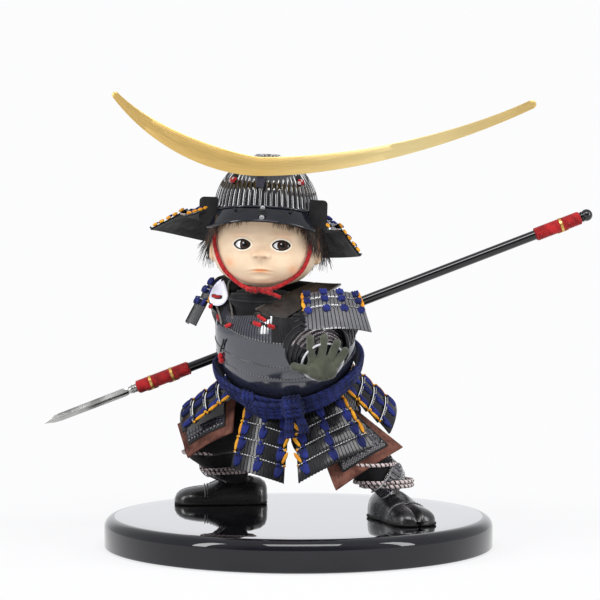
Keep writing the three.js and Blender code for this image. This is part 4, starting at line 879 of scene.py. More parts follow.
breast = chest_plate(-10, 56, BREAST_EDGE, 42, 16)
for heading, z, width in FASTENINGS:
    for k in (-1, 0, 1):
        spot = on_torso(heading + k * width * 0.75, z - 0.35 * k, 3.2)
        breast.ball(spot, (width * 0.5, 1.3, 1.7), 4, Matrix.Rotation(radians(heading + 40 * k), 3, "Z"))
    for end in (-1.7, 1.7):
        breast.ball(on_torso(heading + width * end, z, 2.6), (1.5, 0.8, 1.6), 3)
for k in range(4):
    spot = on_torso(-40 + 1.8 * (k % 2), 30 + 1.7 * k, 3.4)
    breast.ball(spot, (2.1, 1.4, 1.7), 4, Matrix.Rotation(0.5 * k, 3, "Y"))
side_tie = [on_torso(-38 + 0.9 * k, 38 + 1.5 * k, 3.2 + 0.25 * sin(k)) for k in range(8)]
breast.tube(smooth(side_tie, 3), 0.7, 6, 3)
breast.made("breast_scales", chest_finishes, 30, "breast_plate", "armour_lacquer", place=torso)
back = chest_plate(180, 50, BACK_EDGE, 36, 230)
back.made("back_scales", chest_finishes, 30, "back_plate", "armour_lacquer", place=torso)

# Throat cloth: a stuffed black cotton yoke from inside the breast plate up to the neck,
# with a folded collar sewn along its upper edge.
THROAT_SIDES = 56
head = placed((-24, -21, 177.6), y=2, z=-6)
torso_back = torso.inverted()
headings = [360 * t for t in shares(THROAT_SIDES)[:-1]]
rings = [[on_torso(h, z, proud) for h in headings] for z, proud in ((52.3, -1.3), (58, -1.2), (65, -1.6))]
for z, radius in ((-4, 24), (-0.5, 18.6), (1.6, 14.6)):
    rings.append([torso_back @ head @ at_heading(h + TORSO_TURN + 6, z, radius, radius) for h in headings])
columns = [smooth(column, 4) for column in zip(*rings)]
rows = [[torso @ p for p in ring] for ring in zip(*columns)]
centres = [sum(ring, Vector()) / THROAT_SIDES for ring in rows]
pressed(rows, centres, ["shoulder_strap_right", "shoulder_strap_left", "leaf_plate", "chin_cord"], 0.8)
throat = Piece()
throat.grid(rows)
throat.ball((-44, 2, 177.5), (9.5, 14, 7.5), sides=24, rings=14)
for row in (11, 14, 17):
    fold = [p + (p - centres[row]).normalized() * 0.25 for p in rows[row]]
    throat.tube(fold + fold[:1], 0.6, 6, 1)
yoke = throat.made("throat_yoke", [black_cotton, black_silk], 60, "throat_cloth", "black_cloth")

# Shoulder straps: dark brown leather over a thin steel plate, edged with a rolled rim,
# from the breast plate over the shoulder to the back plate.
strap_leather = leather("strap_leather", (0.01, 0.007, 0.005), (0.03, 0.021, 0.016), 0.5, 0.9, 0.1)
strap_dark = leather("strap_dark", (0.005, 0.005, 0.005), (0.014, 0.012, 0.011), 0.45, 0.9, 0.2)
strap_edge = lacquer("strap_edge", (0.12, 0.11, 0.1), 0.3, 1.5)

# Each strap: its side's sign, its top, where it starts on the breast plate, its slope, width and leather
STRAPS = {
    "right": (-1, (-52, 2, 185), (-32, 59), 5, 10, strap_dark),
    "left": (1, (17, -27, 181), (10, 66), 9, 15, strap_leather),
}
for side, (sign, top, front, slope, width, hide) in STRAPS.items():
    line = smooth([on_torso(*front, 2.6), torso_back @ Vector(top), on_torso(180 - sign * 32, 61, 2.6)], 16)

    def over(u, v, lift=0.0):
        spot = between(line, min(v * (len(line) - 1), len(line) - 1.001))
        wide = width + 3 * sin(pi * v)
        return spot + Vector((sign * wide * (u - 0.5), 0, -slope * (1 - 1.7 * v) * (u - 0.5) + lift))

    strap = Piece()
    strap.shell(over, 8, 32, 1.4)
    for u in (0.02, 0.98):
        strap.tube([over(u, v, 0.7) for v in shares(40)], 0.75, 7, 1)
    if side == "left":
        patch = over(0.35, 0.0) + Vector((0, -0.6, -2.5))
        strap.ball(patch, (7.5, 1.0, 3.6), 3, Matrix.Rotation(0.5, 3, "Y"), 16, 10)
    for k in range(3):
        strap.ball(over(0.2 + 0.13 * k, 0.0) + Vector((0, -2.2, -1.6)), (1.5, 1.3, 1.4), 2)
    finishes = [hide, strap_edge, red_silk, strap_dark]
    strap.made(f"strap_{side}", finishes, 40, f"shoulder_strap_{side}", "strap_leather", place=torso)

# Leaf plate: a pale lacquered leaf of steel that hangs from the right strap on a red cord,
# which goes through two eyelets and ends in a bead.
LEAF_WIDTH = 14
LEAF_LENGTH = 19
LEAF_THICKNESS = 1.2
pale_lacquer = lacquer("pale_lacquer", (0.58, 0.58, 0.68), 0.2, 1.5)


def bezier(corners, steps):
    """Points along a Bezier curve, with both its ends."""
    a, b, c, d = (Vector(p) for p in corners)
    curve = []
    for t in shares(steps):
        curve.append(a * (1 - t) ** 3 + b * (3 * t * (1 - t) ** 2) + c * (3 * t * t * (1 - t)) + d * t ** 3)
    return curve


outline = []
for *corners, steps in (
    ((-0.2, 0), (-1, 0.3), (-1.1, 1), (0, 1), 16),
    ((0, 1), (1, 1), (1.3, 0.6), (1, 0.45), 12),
    ((1, 0.45), (0.6, 0.25), (0.2, 0.05), (-0.2, 0), 10),
):
    outline += bezier([(LEAF_WIDTH / 2 * x, -LEAF_LENGTH * z) for x, z in corners], steps)[:-1]
middle = Vector((0.5, -LEAF_LENGTH * 0.62))
rows = []
for share, y in (
    (0.12, 0), (0.94, 0), (1, -0.3), (1, -0.8), (0.92, -LEAF_THICKNESS), (0.8, -1), (0.12, -1.35)
):
    ring = [middle + (p - middle) * share for p in outline]
    rows.append([Vector((p.x, y, p.y)) for p in ring])
leaf = Piece()
leaf.grid(rows)
slit = [(-3.6, -13.4), (-2.4, -12.9), (-0.6, -13.1), (1.2, -12.8), (2.8, -12.2), (3.8, -11.7)]
leaf.tube([(x, -0.75, z) for x, z in slit], [1.2, 1.5, 1.6, 1.6, 1.5, 1.2], 10, 2)
cord = [(x * 0.8, -1.6 - 0.5 * (k % 2), z) for k, (x, z) in enumerate(slit)]
leaf.tube(cord, [0.7, 1.0, 1.15, 1.0, 1.15, 0.7], 8, 1)
leaf.ball((-1.6, -1.2, -20.6), (1.6, 1.5, 1.6), 1)
leaf.tube([(-1.2, -0.9, -18.2), (-1.5, -1.1, -19.4)], 0.6, 6, 1)
leaf.tube([(-0.8, -1.1, -1.6), (-0.6, -1.0, 0.2), (-0.2, 0.2, 1.6)], 0.7, 6, 2)
tilt = Matrix.Rotation(radians(18), 4, "Y") @ Matrix.Rotation(radians(-12), 4, "X")
leaf_place = placed((-51, -22, 186), z=-24) @ tilt
finishes = [pale_lacquer, red_silk, black_silk]
leaf.made("pale_leaf", finishes, 50, "leaf_plate", "pale_lacquer", place=leaf_place)

# Sash: six navy silk cords laid side by side twice round the waist and tied at the front.
# The knot is a flat one, and its two short ends hang over the skirt.
navy_silk = cloth("navy_silk", (0.006, 0.01, 0.055), (0.014, 0.024, 0.15), 0.55, 0.12, 0.75)
navy_deep = cloth("navy_deep", (0.003, 0.005, 0.025), (0.008, 0.013, 0.075), 0.55, 0.12, 0.75)


def on_sash(heading, lift, proud):
    return on_torso(heading, SASH_LEVEL - sash_dip(heading) + lift, proud)


sash = Piece()
rows = []
for heading in range(0, 361, 4):
    rows.append([on_sash(heading, 6.2 * sin(a), 6.4 + 2.2 * cos(a)) for a in turns(12)])
sash.grid(rows, 1, capped=False)
for k in range(6):
    lift = -5.5 + 2.2 * k
    proud = 6.3 + 2.1 * sqrt(max(0, 1 - (lift / 7.2) ** 2))
    wave = 0.35 * (-1) ** k
    cord = [on_sash(h, lift + wave * sin(radians(h * 3)), proud) for h in range(0, 361, 2)]
    twisted(sash, cord, 1.6, 5.5, [0, 0, 1])
for k in range(4):
    fold = []
    for t in shares(24):
        fold.append(on_sash(-14 + 40 * t, -7.4 + 3.1 * k + 1.6 * t, 8.6 + 3.4 * sin(pi * t) ** 0.6))
    twisted(sash, fold, 1.9, 6, [0, 0, 1])
for k in range(3):
    loop = []
    for t in shares(16):
        a = radians(-100 + 200 * t)
        loop.append(on_sash(-12 + 3.4 * k + 3 * cos(a), 0.9 + 5.9 * sin(a), 7.2 + 4.6 * cos(a)))
    twisted(sash, loop, 1.7, 6, [0, 1, 0])
sash.made("sash_cords", [navy_silk, navy_deep], 60, "sash", "navy_silk", place=torso)

knot = Piece()
for x in (-4.6, -1.6, 1.6, 4.6):
    loop = [
        (x * 1.05, 3.5, -6.8), (x, -1.0, -7.2), (x * 0.95, -4.0, -3.0), (x * 0.9, -4.6, 2.0), (x, -1.6, 7.4),
        (x, 3.4, 7.6),
    ]
    twisted(knot, smooth(loop, 8), 1.8, 6, [0, 0, 1])
for z in (-1.8, 1.4, 4.6):
    loop = [(-7.0, 0.4, z), (-4.5, -4.2, z), (0, -5.9, z + 0.6), (4.5, -4.2, z), (7.0, 0.4, z)]
    twisted(knot, smooth(loop, 8), 1.7, 6, [0, 1, 0])
knot.ball((0, -1.2, 0.6), (6.8, 3.6, 6.6), 1, sides=16, rings=10)
for end in (
    ((-2, -1.6, -3), (-3.5, -7, -9), (-4, -11, -15.5)),
    ((3, -1.6, -3), (5.5, -8, -7.5), (6.5, -12.5, -12.5)),
):
    for k in (-1, 0, 1):
        line = [(x + wide * k, y, z) for (x, y, z), wide in zip(end, (1.4, 2.0, 2.2))]
        twisted(knot, smooth(line, 9), 1.5, 5, [0, 0, 1])
knot_place = torso @ placed(on_torso(-TORSO_TURN, SASH_LEVEL - 10, 11.8), z=-TORSO_TURN)
knot.made("sash_tie", [navy_silk, navy_deep], 60, "sash_knot", "navy_silk", place=knot_place)

# Skirt panels: seven hanging panels, each of four rows of narrow lacquered scales.
# Navy silk lacing holds the rows to one another and to the cuirass, and amber cords bind the edges.
PANEL_LENGTH = 45
PANEL_ROW_STEP = 0.8
PANEL_BOW = 2.5
PANEL_SPREAD = 0.16

# Each panel: heading, half width and flare, and for two of them how they spread and slew as they hang
PANELS = {
    "front_right": (-27, 16.5, 21, 0.22, 0.21), "front_left": (25, 18.5, 36, 0.55, -0.22),
    "side_left": (80, 15.5, 38), "back_left": (129, 15.5, 22), "back": (180, 15.5, 20),
    "back_right": (-136, 15.5, 36), "side_right": (-90, 16, 48),
}
scale_lacquer = lacquer("scale_lacquer", (0.006, 0.006, 0.008), 0.2, 1.32, 14, 0.3)
amber_silk = cloth("amber_silk", (0.6, 0.22, 0.008), (0.87, 0.42, 0.025), 0.5, 0.1, 0.6)
lace_navy = cloth("lace_navy", (0.005, 0.009, 0.07), (0.015, 0.026, 0.2), 0.5, 0.12, 0.7)
panel_finishes = [scale_lacquer, cord_black, cord_white, lace_navy, amber_silk]


def hem_point(heading):
    turn = heading - TORSO_TURN
    return torso @ on_torso(turn, hem_level(turn), 2.4)


def hung_frame(heading, flare):
    along = (hem_point(heading + 10) - hem_point(heading - 10)).normalized()
    up = (Vector((0, 0, 1)) - along * along.z).normalized()
    basis = Matrix((along, up.cross(along), up)).transposed().to_4x4()
    return Matrix.Translation(hem_point(heading)) @ basis @ Matrix.Rotation(radians(-flare), 4, "X")


def laced_rows(
    half_width, length, edges, row_step, bow, pitch, lacing, lump, hang, spread=PANEL_SPREAD, slew=0
):
    """Rows of scales with their lacing; they hang along -Z and face -Y."""
    sheet = Piece()
    chance = random.Random(len(lacing) * 31 + round(length))
    rows = list(zip(edges, edges[1:]))

    def face(u, v, lift=0.0):
        side = 2 * u - 1
        row = max(k for k, (low, high) in enumerate(rows) if low <= v + 1e-9 or k == 0)
        low, high = rows[row]
        out = row_step * (row + 1 - 0.7 * (v - low) / (high - low))
        x = half_width * (1 + spread * v) * side + slew * length * v
        return Vector((x, bow * side * side - out - lift, -length * v))

    for low, high in rows:
        width = half_width * (1 + spread * (low + high) / 2)
        scales = max(6, round(2 * width / pitch))

        def scale_face(u, v):
            rise = 0.6 * scale_rise(u, scales) - 0.25 * abs(2 * v - 1) ** 8
            return face(u, low + (high - low - 1e-4) * v, rise)

        levels = [0, 0.06, 0.5, 0.94, 1]
        sheet.shell(scale_face, scale_steps(scales), levels, 1.0, lambda r, s: int(r % 4 != 2))
        if low:
            dotted(sheet, [face(u, low + 0.006, 0.85) for u in shares(24)], 1, 2, 0.4, 0.5)
        tall = length * (high - low)
        for u in lacing:
            spot = face(u, low + hang * (high - low), 1.1)
            for k in (-1, 0, 1):
                lean = Matrix.Rotation(0.16 * k + chance.uniform(-0.08, 0.08), 3, "Y")
                off = Vector((1.5 * k, 0.35 * abs(k), chance.uniform(-0.5, 0.5)))
                sheet.ball(spot + off, (1.25, 1.15, min(lump, 0.4 * tall)), 3, lean, 8, 7)
            sheet.ball(face(u, max(low + 0.01, 0.03), 1.3), (1.5, 1.0, 1.3), 3, sides=8, rings=6)
        for u, tilt in ((0.012, -0.12), (0.988, 0.12)) if high < 1 else ():
            lean = Matrix.Rotation(tilt, 3, "Y")
            sheet.ball(face(u, (low + high) / 2, 1.0), (1.3, 1.15, 0.4 * tall), 4, lean, 8, 8)
            for v in (low + 0.012, high - 0.004):
                sheet.ball(face(u, v, 1.15), (1.05, 1.0, 1.0), 4, sides=8, rings=6)
    return sheet


for where, (heading, half_width, flare, *form) in PANELS.items():
    panel = laced_rows(
        half_width, PANEL_LENGTH, shares(4), PANEL_ROW_STEP, PANEL_BOW, 2.4, (0.11, 0.5, 0.89), 4.1, 0.46,
        *form,
    )
    name = f"skirt_panel_{where}"
    place = hung_frame(heading, flare)
    panel.made(f"scales_{where}", panel_finishes, 35, name, "armour_lacquer", name, place)

# Thigh aprons: brown suede sewn round a field of black mail and small lacquered plates,
# piped in black, tied at the waist and laid over the thighs.
APRON_BULGE = 3
APRON_THICKNESS = 1.6
suede = leather("suede", (0.075, 0.026, 0.019), (0.19, 0.075, 0.052), 0.85, 0.6)

# Each apron: the two ends of its top edge and of its hem, and its mail
APRONS = {
    "right": (
        ((-85, 32, 82), (-43.5, 3, 102), (-77, 16, 60), (-45, -13, 80.5)),
        mail("apron_mail_right", (0.5, 0.49, 0.5), 2.0, 0.35),
    ),
    "left": (
        ((7, -28, 90), (40, -9, 94), (25, -56, 45), (70, -37, 72)),
        mail("apron_mail_left", (0.72, 0.71, 0.73), 2.2, 0.3),
    ),
}
for side, (corners, field_mail) in APRONS.items():
    a, b, c, d = (Vector(p) for p in corners)
    out = (c - a).cross(b - a).normalized()

    def apron_face(u, v, lift=0.0):
        return a.lerp(b, u).lerp(c.lerp(d, u), v) + out * (APRON_BULGE * sin(pi * u) + lift)

    width = ((b - a).length + (d - c).length) / 2
    length = ((c - a).length + (d - b).length) / 2
    apron = Piece()
    apron.shell(apron_face, 30, 18, -APRON_THICKNESS)
    hide = apron.made(f"apron_{side}", [suede], 45, f"thigh_apron_{side}", "apron_leather")
    side_share, hem_share = 7.0 / width, 1 - 7.5 / length

    def field(u, v, lift=0.0):
        inside = side_share + (1 - 2 * side_share) * u
        return apron_face(inside, 0.02 + (hem_share - 0.02) * v, APRON_THICKNESS + lift)

    trim = Piece()
    trim.shell(lambda u, v: field(u, v, 0.05), 30, 14, -0.5, 1)
    for inset, surface, lift, radius, finish in ((0, field, 0.5, 0.8, 2), (0.005, apron_face, 0.8, 0.85, 0)):
        border = [surface(inset, v, lift) for v in shares(16)]
        border += [surface(u, 1 - inset, lift) for u in shares(24)[1:-1]]
        border += [surface(1 - inset, 1 - v, lift) for v in shares(16)]
        trim.tube(border, radius, 7, finish)
    for u in (0.5 * side_share, 1 - 0.5 * side_share):
        for i in range(9):
            stitch = [apron_face(u, 0.06 + 0.1 * i + far, APRON_THICKNESS + 0.1) for far in (0, 0.05)]
            trim.tube(stitch, 0.25, 5, 2)
    plates = max(6, round(width / 4.6))
    for k in range(plates):
        for level in (0.52, 0.67):
            def plate(u, v):
                return field((k + 0.12) / plates + 0.76 / plates * u, level + 0.115 * v, 0.55)

            trim.shell(plate, 3, 3, -0.5, 3)
        trim.ball(field((k + 0.5) / plates, 0.88, 0.5), (1.5, 1.5, 1.5), 3, sides=8, rings=5)
    trim_piece = trim.made(f"apron_field_{side}", [suede, field_mail, black_silk, plate_lacquer], 45)

# Sleeves: stuffed black cotton over the arm wire, with thin lacquered hoops round both arms,
# bands of fine mail above the wrists and a bright rim at each wrist.

# Each sleeve: its line, the radii along it and the radius of its rim
ARMS = {
    "left": ([(29, -26, 161), (11, -50, 144.5), (16, -67, 134)], [16, 24, 13.8], 14.3),
    "right": ([(-50, 4, 181), (-47, 18, 174), (-48, 38, 162), (-46, 52, 144)], [9, 16.5, 13, 10.5], 10.5),
}
rosy_mail = mail("rosy_mail", (0.92, 0.8, 0.82), 1.9, 0.3)
dark_plate = lacquer("dark_plate", (0.006, 0.006, 0.009), 0.2, 1.4, 14, 0.4)
bright_rim = lacquer("bright_rim", (0.42, 0.42, 0.44), 0.15)
for side, (path, radii, rim_radius) in ARMS.items():
    line = smooth(path, 16)
    rows = stuffed(line, radii, 36, 0.8, 8.0)
    shells = ["breast_plate", "back_plate", "cuirass_waist_lames"]
    shells += [f"{name}_{side}" for name in ("hand", "shoulder_strap", "shoulder_guard")]
    pressed(rows, line, shells, 0.7)
    sleeve = Piece()
    wrist = len(rows) - 1
    sleeve.grid(rows, lambda r, s: int(wrist - 9 <= r < wrist - 1 and rows[r][s].z > line[r].z + 6))
    for row in range(4, wrist - 1, 2):
        hoop = [p + (p - line[row]).normalized() * 0.1 for p in rows[row]]
        sleeve.tube(hoop + hoop[:1], 0.8, 6, 2)
    middle, ahead = line[-1] - Vector((0, 0, 2)), (line[-1] - line[-2]).normalized()
    across = ahead.orthogonal().normalized()
    rim = [middle + rim_radius * (cos(a) * across + sin(a) * ahead.cross(across)) for a in turns(48)]
    sleeve.tube(rim + rim[:1], 0.8, 8, 3)
    finishes = [black_cotton, rosy_mail, dark_plate, bright_rim]
    arm_sleeve = sleeve.made(f"arm_sleeve_{side}", finishes, 55, f"sleeve_{side}", "black_cloth")
refinish("arm_wire", steel_dull)

# Hands: small carved hands in olive green gloves of fine suede. The left one is held out open
# and the right one is shut round the spear.
FINGER_RADIUS = 2.75
FINGERS = [
    ((-6.8, 2), (-8, 10), (-8.3, 16.8)), ((-1, 3), (0.2, 11), (1, 17.4)), ((4.8, 2.4), (7.4, 9), (9.6, 14)),
    ((8, -1), (12.2, 4.6), (14.9, 8.6)), ((-6, -5), (-13, -3.4), (-18.6, -1.8)),
]
spear_frame = placed((-44, 54, 134.6), y=-21)
glove = finish_of(
    "glove", mottle, (6, 0.35), (0.034, 0.039, 0.023), (0.062, 0.069, 0.042), (0.7, 0.92),
    [("Fine", 0.35, 0.25)], {"Sheen Weight": 0.35, "Sheen Roughness": 0.5},
)


def moulded(hand, name, voxel, stands_for, place):
    """Joins overlapping forms into one soft skin."""
    made = hand.made(name, [glove], 180, stands_for, "glove", place=place)
    skin = made.modifiers.new("skin", "REMESH")
    skin.mode = "VOXEL"
    skin.voxel_size = voxel * MM
    skin.use_smooth_shade = True
    soft = made.modifiers.new("soft", "SMOOTH")
    soft.factor = 0.5
    soft.iterations = 4


hand = Piece()
hand.ball((-0.4, 0.4, -2.8), (10.8, 4.4, 8.8), sides=32, rings=20)
hand.ball((-5.5, -1.6, -5), (5, 3.6, 5), sides=24, rings=16)
hand.ball((5.2, -1.5, -4.5), (4.6, 3.3, 5.6), sides=24, rings=16)
for k, joints in enumerate(FINGERS):
    size = FINGER_RADIUS * (1.08 if k == 4 else 1.0)
    spots = [Vector((x, -0.9 * i, z)) for i, (x, z) in enumerate(joints)]
    line = smooth(spots, 8)
    radii = [size * (1.06 - 0.008 * i + 0.04 * cos(i * 0.75)) for i in range(len(line))]
    for a in (20, 40, 58, 72, 84):
        ahead = (spots[2] - spots[1]).normalized() * size * sin(radians(a))
        line.append(spots[2] + ahead)
        radii.append(radii[16] * cos(radians(a)))
    hand.tube(line, radii, 16)
moulded(hand, "open_hand", 0.42, "hand_left", placed((16, -72.5, 131)))
fist = Piece()
fist.ball((0, 1.2, 3.4), (8.6, 7.2, 7.0), sides=24, rings=16)
for x in (-6.3 + 4.2 * k for k in range(4)):
    bend = [radians(-60 + 27 * i) for i in range(11)]
    fist.tube([(x, 1.2 - 6.0 * cos(a), 0.6 - 6.0 * sin(a)) for a in bend], [2.3] * 10 + [1.6], 12)
thumb = [(-7.0, -2.0, 5.5), (-3.0, -6.0, 4.6), (2.0, -7.2, 3.2), (5.0, -6.8, 1.6)]
fist.tube(smooth(thumb, 5), 2.3, 12)
moulded(fist, "closed_hand", 0.5, "hand_right", spear_frame)

# Shoulder guards: three rows of broad scales laced in navy, with amber cords at the edges,
# hung from the shoulder straps so that they swing out over the arms.
# The left guard's scales are a lighter grey copy of the right guard's black lacquer: painted light.
painted_lit_lacquer = lacquer("painted_lit_lacquer", (0.085, 0.085, 0.095), 0.14, 1.9, 14)

# Each guard: hinge, flare, heading and the lacquer of its scales
GUARDS = {
    "left": ((22, -41, 178), -42, 12, painted_lit_lacquer), "right": ((-59.6, 5, 184.5), -30, -80, dark_plate)
}
for side, (hinge, flare, heading, finish) in GUARDS.items():
    guard = laced_rows(20, 34, [0, 0.2, 0.44, 1], 0.9, 4, 2.7, (0.08, 0.36, 0.64, 0.92), 2.7, 0.1)
    name = f"shoulder_guard_{side}"
    place = placed(hinge, z=heading) @ Matrix.Rotation(radians(flare), 4, "X")
    guard.made(f"guard_scales_{side}", [finish, *panel_finishes[1:]], 35, name, "armour_lacquer", name, place)

# Head: moulded from pale clay and painted like skin, with a rosy tint on cheeks, nose and lips.
# It turns on a wooden peg in the neck. Each line of the outline is a level: half width, front, back.
HEAD_OUTLINE = [
    (3.5, 3, 7, 2), (3.8, 8.5, 14, 6), (4.9, 15, 20.5, 11), (7, 21.5, 25.5, 15.5), (10, 26.8, 28.8, 19.5),
    (14, 31, 31, 23), (19, 34, 32.4, 26.3), (24, 35.5, 33, 29), (30, 35.9, 33, 31), (36, 35.5, 32.5, 32),
    (42, 34.7, 32.2, 32.6), (48, 33.5, 32, 32.8), (54, 32.2, 31.5, 32), (58, 31, 31, 31),
    (64, 28.5, 28.5, 28.5), (69.9, 24.2, 24.2, 24.2), (77.8, 13, 13, 13), (80.7, 4, 4, 4), (81, 1, 1, 1),
]
FACE_SHIFT = 1.3
FACE_TOP = 49
worn = {"body": "head", "place": head}


def hill(x, z, centre, size):
    """A smooth rise of height 1 over a place of the face."""
    return exp(-((x - centre[0]) / size[0]) ** 2 - ((z - centre[1]) / size[1]) ** 2)


def mouth_line(x):
    return 15.0 - 0.013 * x * x


def features(x, z):
    """How far the face stands out from the plain head."""
    x -= FACE_SHIFT
    side = abs(x)
    rise = 3.8 * hill(x, z, (0, 25.3), (3.3, 2.6)) + 0.6 * hill(x, z, (0, 30), (2.4, 4))
    rise += 2.0 * hill(side, z, (4.4, 24.6), (1.8, 1.6)) - 1.2 * hill(side, z, (2.6, 23.4), (0.9, 0.8))
    rise += 1.3 * hill(side, z, (17, 16.5), (8, 7)) - 1.7 * hill(side, z, (13, 31.5), (7.2, 4.4))
    rise += 0.7 * hill(side, z, (13, 38.5), (8, 2.4)) - 0.4 * hill(x, z, (0, 19), (1.0, 1.8))
    below = z - mouth_line(x)
    rise += 1.0 * hill(x, below, (0, 0.9), (6.2, 0.8)) + 1.1 * hill(x, below, (0, -1.05), (5.2, 0.85))
    rise -= 0.9 * hill(x, below, (0, 0), (7.4, 0.4)) + 0.7 * hill(x, z, (0, 11.3), (5.5, 1.2))
    return rise + 1.1 * hill(x, z, (0, 8), (6.5, 3))


def on_head(heading, z, proud=0.0):
    half_width, front_depth, back_depth = eased(HEAD_OUTLINE, z, 0.4)
    depth = front_depth if cos(radians(heading)) > 0 else back_depth
    return at_heading(heading, z, half_width + proud, depth + proud)


def on_face(x, z, proud=0.0):
    """A point of the face straight behind a place of its front view."""
    half_width = table_at(HEAD_OUTLINE, z)[0]
    spot = on_head(degrees(asin(max(-1, min(1, x / half_width)))), z)
    return Vector((x, spot.y - features(x, z) - proud, z))


skin, tree, shader = new_finish("skin", {"Specular IOR Level": 0.4})
masks = node(tree, "SeparateColor", {"Color": node(tree, "VertexColor", layer_name="paint")["Color"]})
pores = node(tree, "Group", {"Slow Size": 9, "Fine Size": 0.6}, node_tree=mottle)
tone = mixed(pores["Slow"], (0.77, 0.57, 0.385), (0.83, 0.64, 0.45))
# Blue is painted shade about the eyes and nose; on the mouth line it is partly the doll's own paint.
for mask, tint in (("Blue", (0.36, 0.17, 0.09)), ("Green", (0.84, 0.4, 0.2)), ("Red", (0.78, 0.33, 0.15))):
    tone = node(tree, "Mix", {"Factor": masks[mask], "A": tone, "B": (*tint, 1)}, data_type="RGBA")["Result"]
feed(shader["Base Color"], tone)
feed(shader["Roughness"], ranged(pores["Fine"], 0.36, 0.48))
bump_from(shader, pores["Fine"], 0.06, 0.1)

headings = [-180 + 5 * i for i in range(24)] + [-60 + 1.2 * i for i in range(100)]
headings += [60 + 5 * i for i in range(24)]
levels = [3.5, 3.6, 3.8, 4.2, 4.9, 5.9, 7, 8, 9] + [10 + 0.6 * i for i in range(64)]
levels += [FACE_TOP + 3 * i for i in range(10)] + [78, 80, 81.5, 82]
rows = []
tints = []
for z in levels:
    rows.append([])
    for heading in headings:
        spot = on_head(heading, z)
        if abs(heading) < 75 and z < FACE_TOP:
            fade = min(1, (75 - abs(heading)) / 20)
            spot += Vector((0, -features(spot.x, z) * fade, 0))
        rows[-1].append(spot)
        x = spot.x - FACE_SHIFT
        side, below = abs(x), z - mouth_line(x)
        lips = min(1, 1.15 * hill(x, below, (0, -0.1), (7.0, 1.75))) ** 2
        blush = 0.75 * hill(x, z, (-21.5, 19.5), (3, 3)) + 0.75 * hill(x, z, (21, 16), (3.2, 2.8))
        blush += 0.3 * hill(side, z, (15, 38), (6, 2.5)) + 0.15 * hill(x, z, (0, 25), (5, 2.5))
        # The shade mask is painted shade: under and between the eyes, under the nose, in the nostrils, beside
        # the nose.
        shade = 0.24 * hill(side, z, (11, 27.6), (9, 2.2)) + 0.4 * hill(x, z, (0, 29.6), (4.6, 2.6))
        shade += 0.16 * hill(x, z, (0, 20.6), (6, 1.6)) + 0.6 * hill(side, z, (2.6, 23.5), (1.0, 0.5))
        # The dark line along the mouth is partly the doll's own paint and partly painted shade in its groove.
        shade += 0.25 * hill(side, z, (6.6, 24.6), (0.8, 1.6)) + 0.65 * hill(x, below, (0, 0), (7.6, 0.3))
        tints.append((lips, blush, min(1, shade), 1) if spot.y < 0 else (0, 0, 0, 1))
face = Piece()
face.grid(rows)
for sign in (-1, 1):
    for size, (x, y, z) in (((2.6, 4.6, 7.6), (35.2, 4, 27)), ((1.6, 2.6, 3.4), (36.6, 2.6, 23.6))):
        face.ball((sign * x, y, z), size, sides=20, rings=14)
    bend = [radians(-70 + 250 * t) for t in shares(14)]
    rim = [(sign * (37.2 - 0.5 * sin(a)), 4.4 - 3.6 * cos(a), 28 + 6.4 * sin(a)) for a in bend]
    face.tube(rim, [1.0 + 0.25 * sin(pi * t) for t in shares(14)], 10)
tints += [(0, 0.12, 0, 1)] * (len(face.points) - len(tints))
doll_head = face.made("doll_head", [skin], 180, "head", "skin", **worn)
paint = doll_head.data.color_attributes.new("paint", "FLOAT_COLOR", "POINT")
paint.data.foreach_set("color", [c for tint in tints for c in tint])
refinish("neck_peg", finish_of("peg_wood", mottle, (5, 0.5), (0.36, 0.21, 0.1), (0.5, 0.33, 0.18), 0.6))

# Eyes: glass set in almond openings, with a brown iris that looks a little to the doll's left.
# A dark lash line and a pale lid edge run round each opening.
EYE_SPACING = 26
EYE_LEVEL = 32
IRIS_RADIUS = 3.5
eye_white = finish_of(
    "eye_white", mottle, (3, 0.5), (0.72, 0.72, 0.75), (0.86, 0.86, 0.87), 0.08, sockets={"Coat Weight": 0.2}
)
iris, tree, shader = new_finish("iris", {"Roughness": 0.1, "Coat Weight": 0.2, "Specular IOR Level": 0.25})
bands = ramp(
    calc("DIVIDE", flat_axes(tree)["Y"], IRIS_RADIUS), (0.0, (0.004, 0.003, 0.003)),
    (0.46, (0.006, 0.004, 0.003)), (0.5, (0.028, 0.013, 0.008)), (0.8, (0.05, 0.022, 0.013)),
    (0.95, (0.008, 0.005, 0.004)),
)
feed(shader["Base Color"], bands)
lash = cloth("lash", (0.006, 0.004, 0.003), (0.014, 0.009, 0.007), 0.3, 0, 0.5)
lid = finish_of("lid", mottle, (4, 0.5), (0.9, 0.76, 0.6), (0.95, 0.84, 0.7), 0.35)


def almond(angle):
    """The edge of an eye opening about its middle."""
    c, s = cos(angle), sin(angle)
    return Vector((5.4 * c, (3.3 if s > 0 else 3.1) * s * (1 - 0.16 * c * c)))


def edge_towards(at):
    """How far the edge of the opening is from its middle, in the direction of a place."""
    return almond(atan2(at.y, at.x)).length


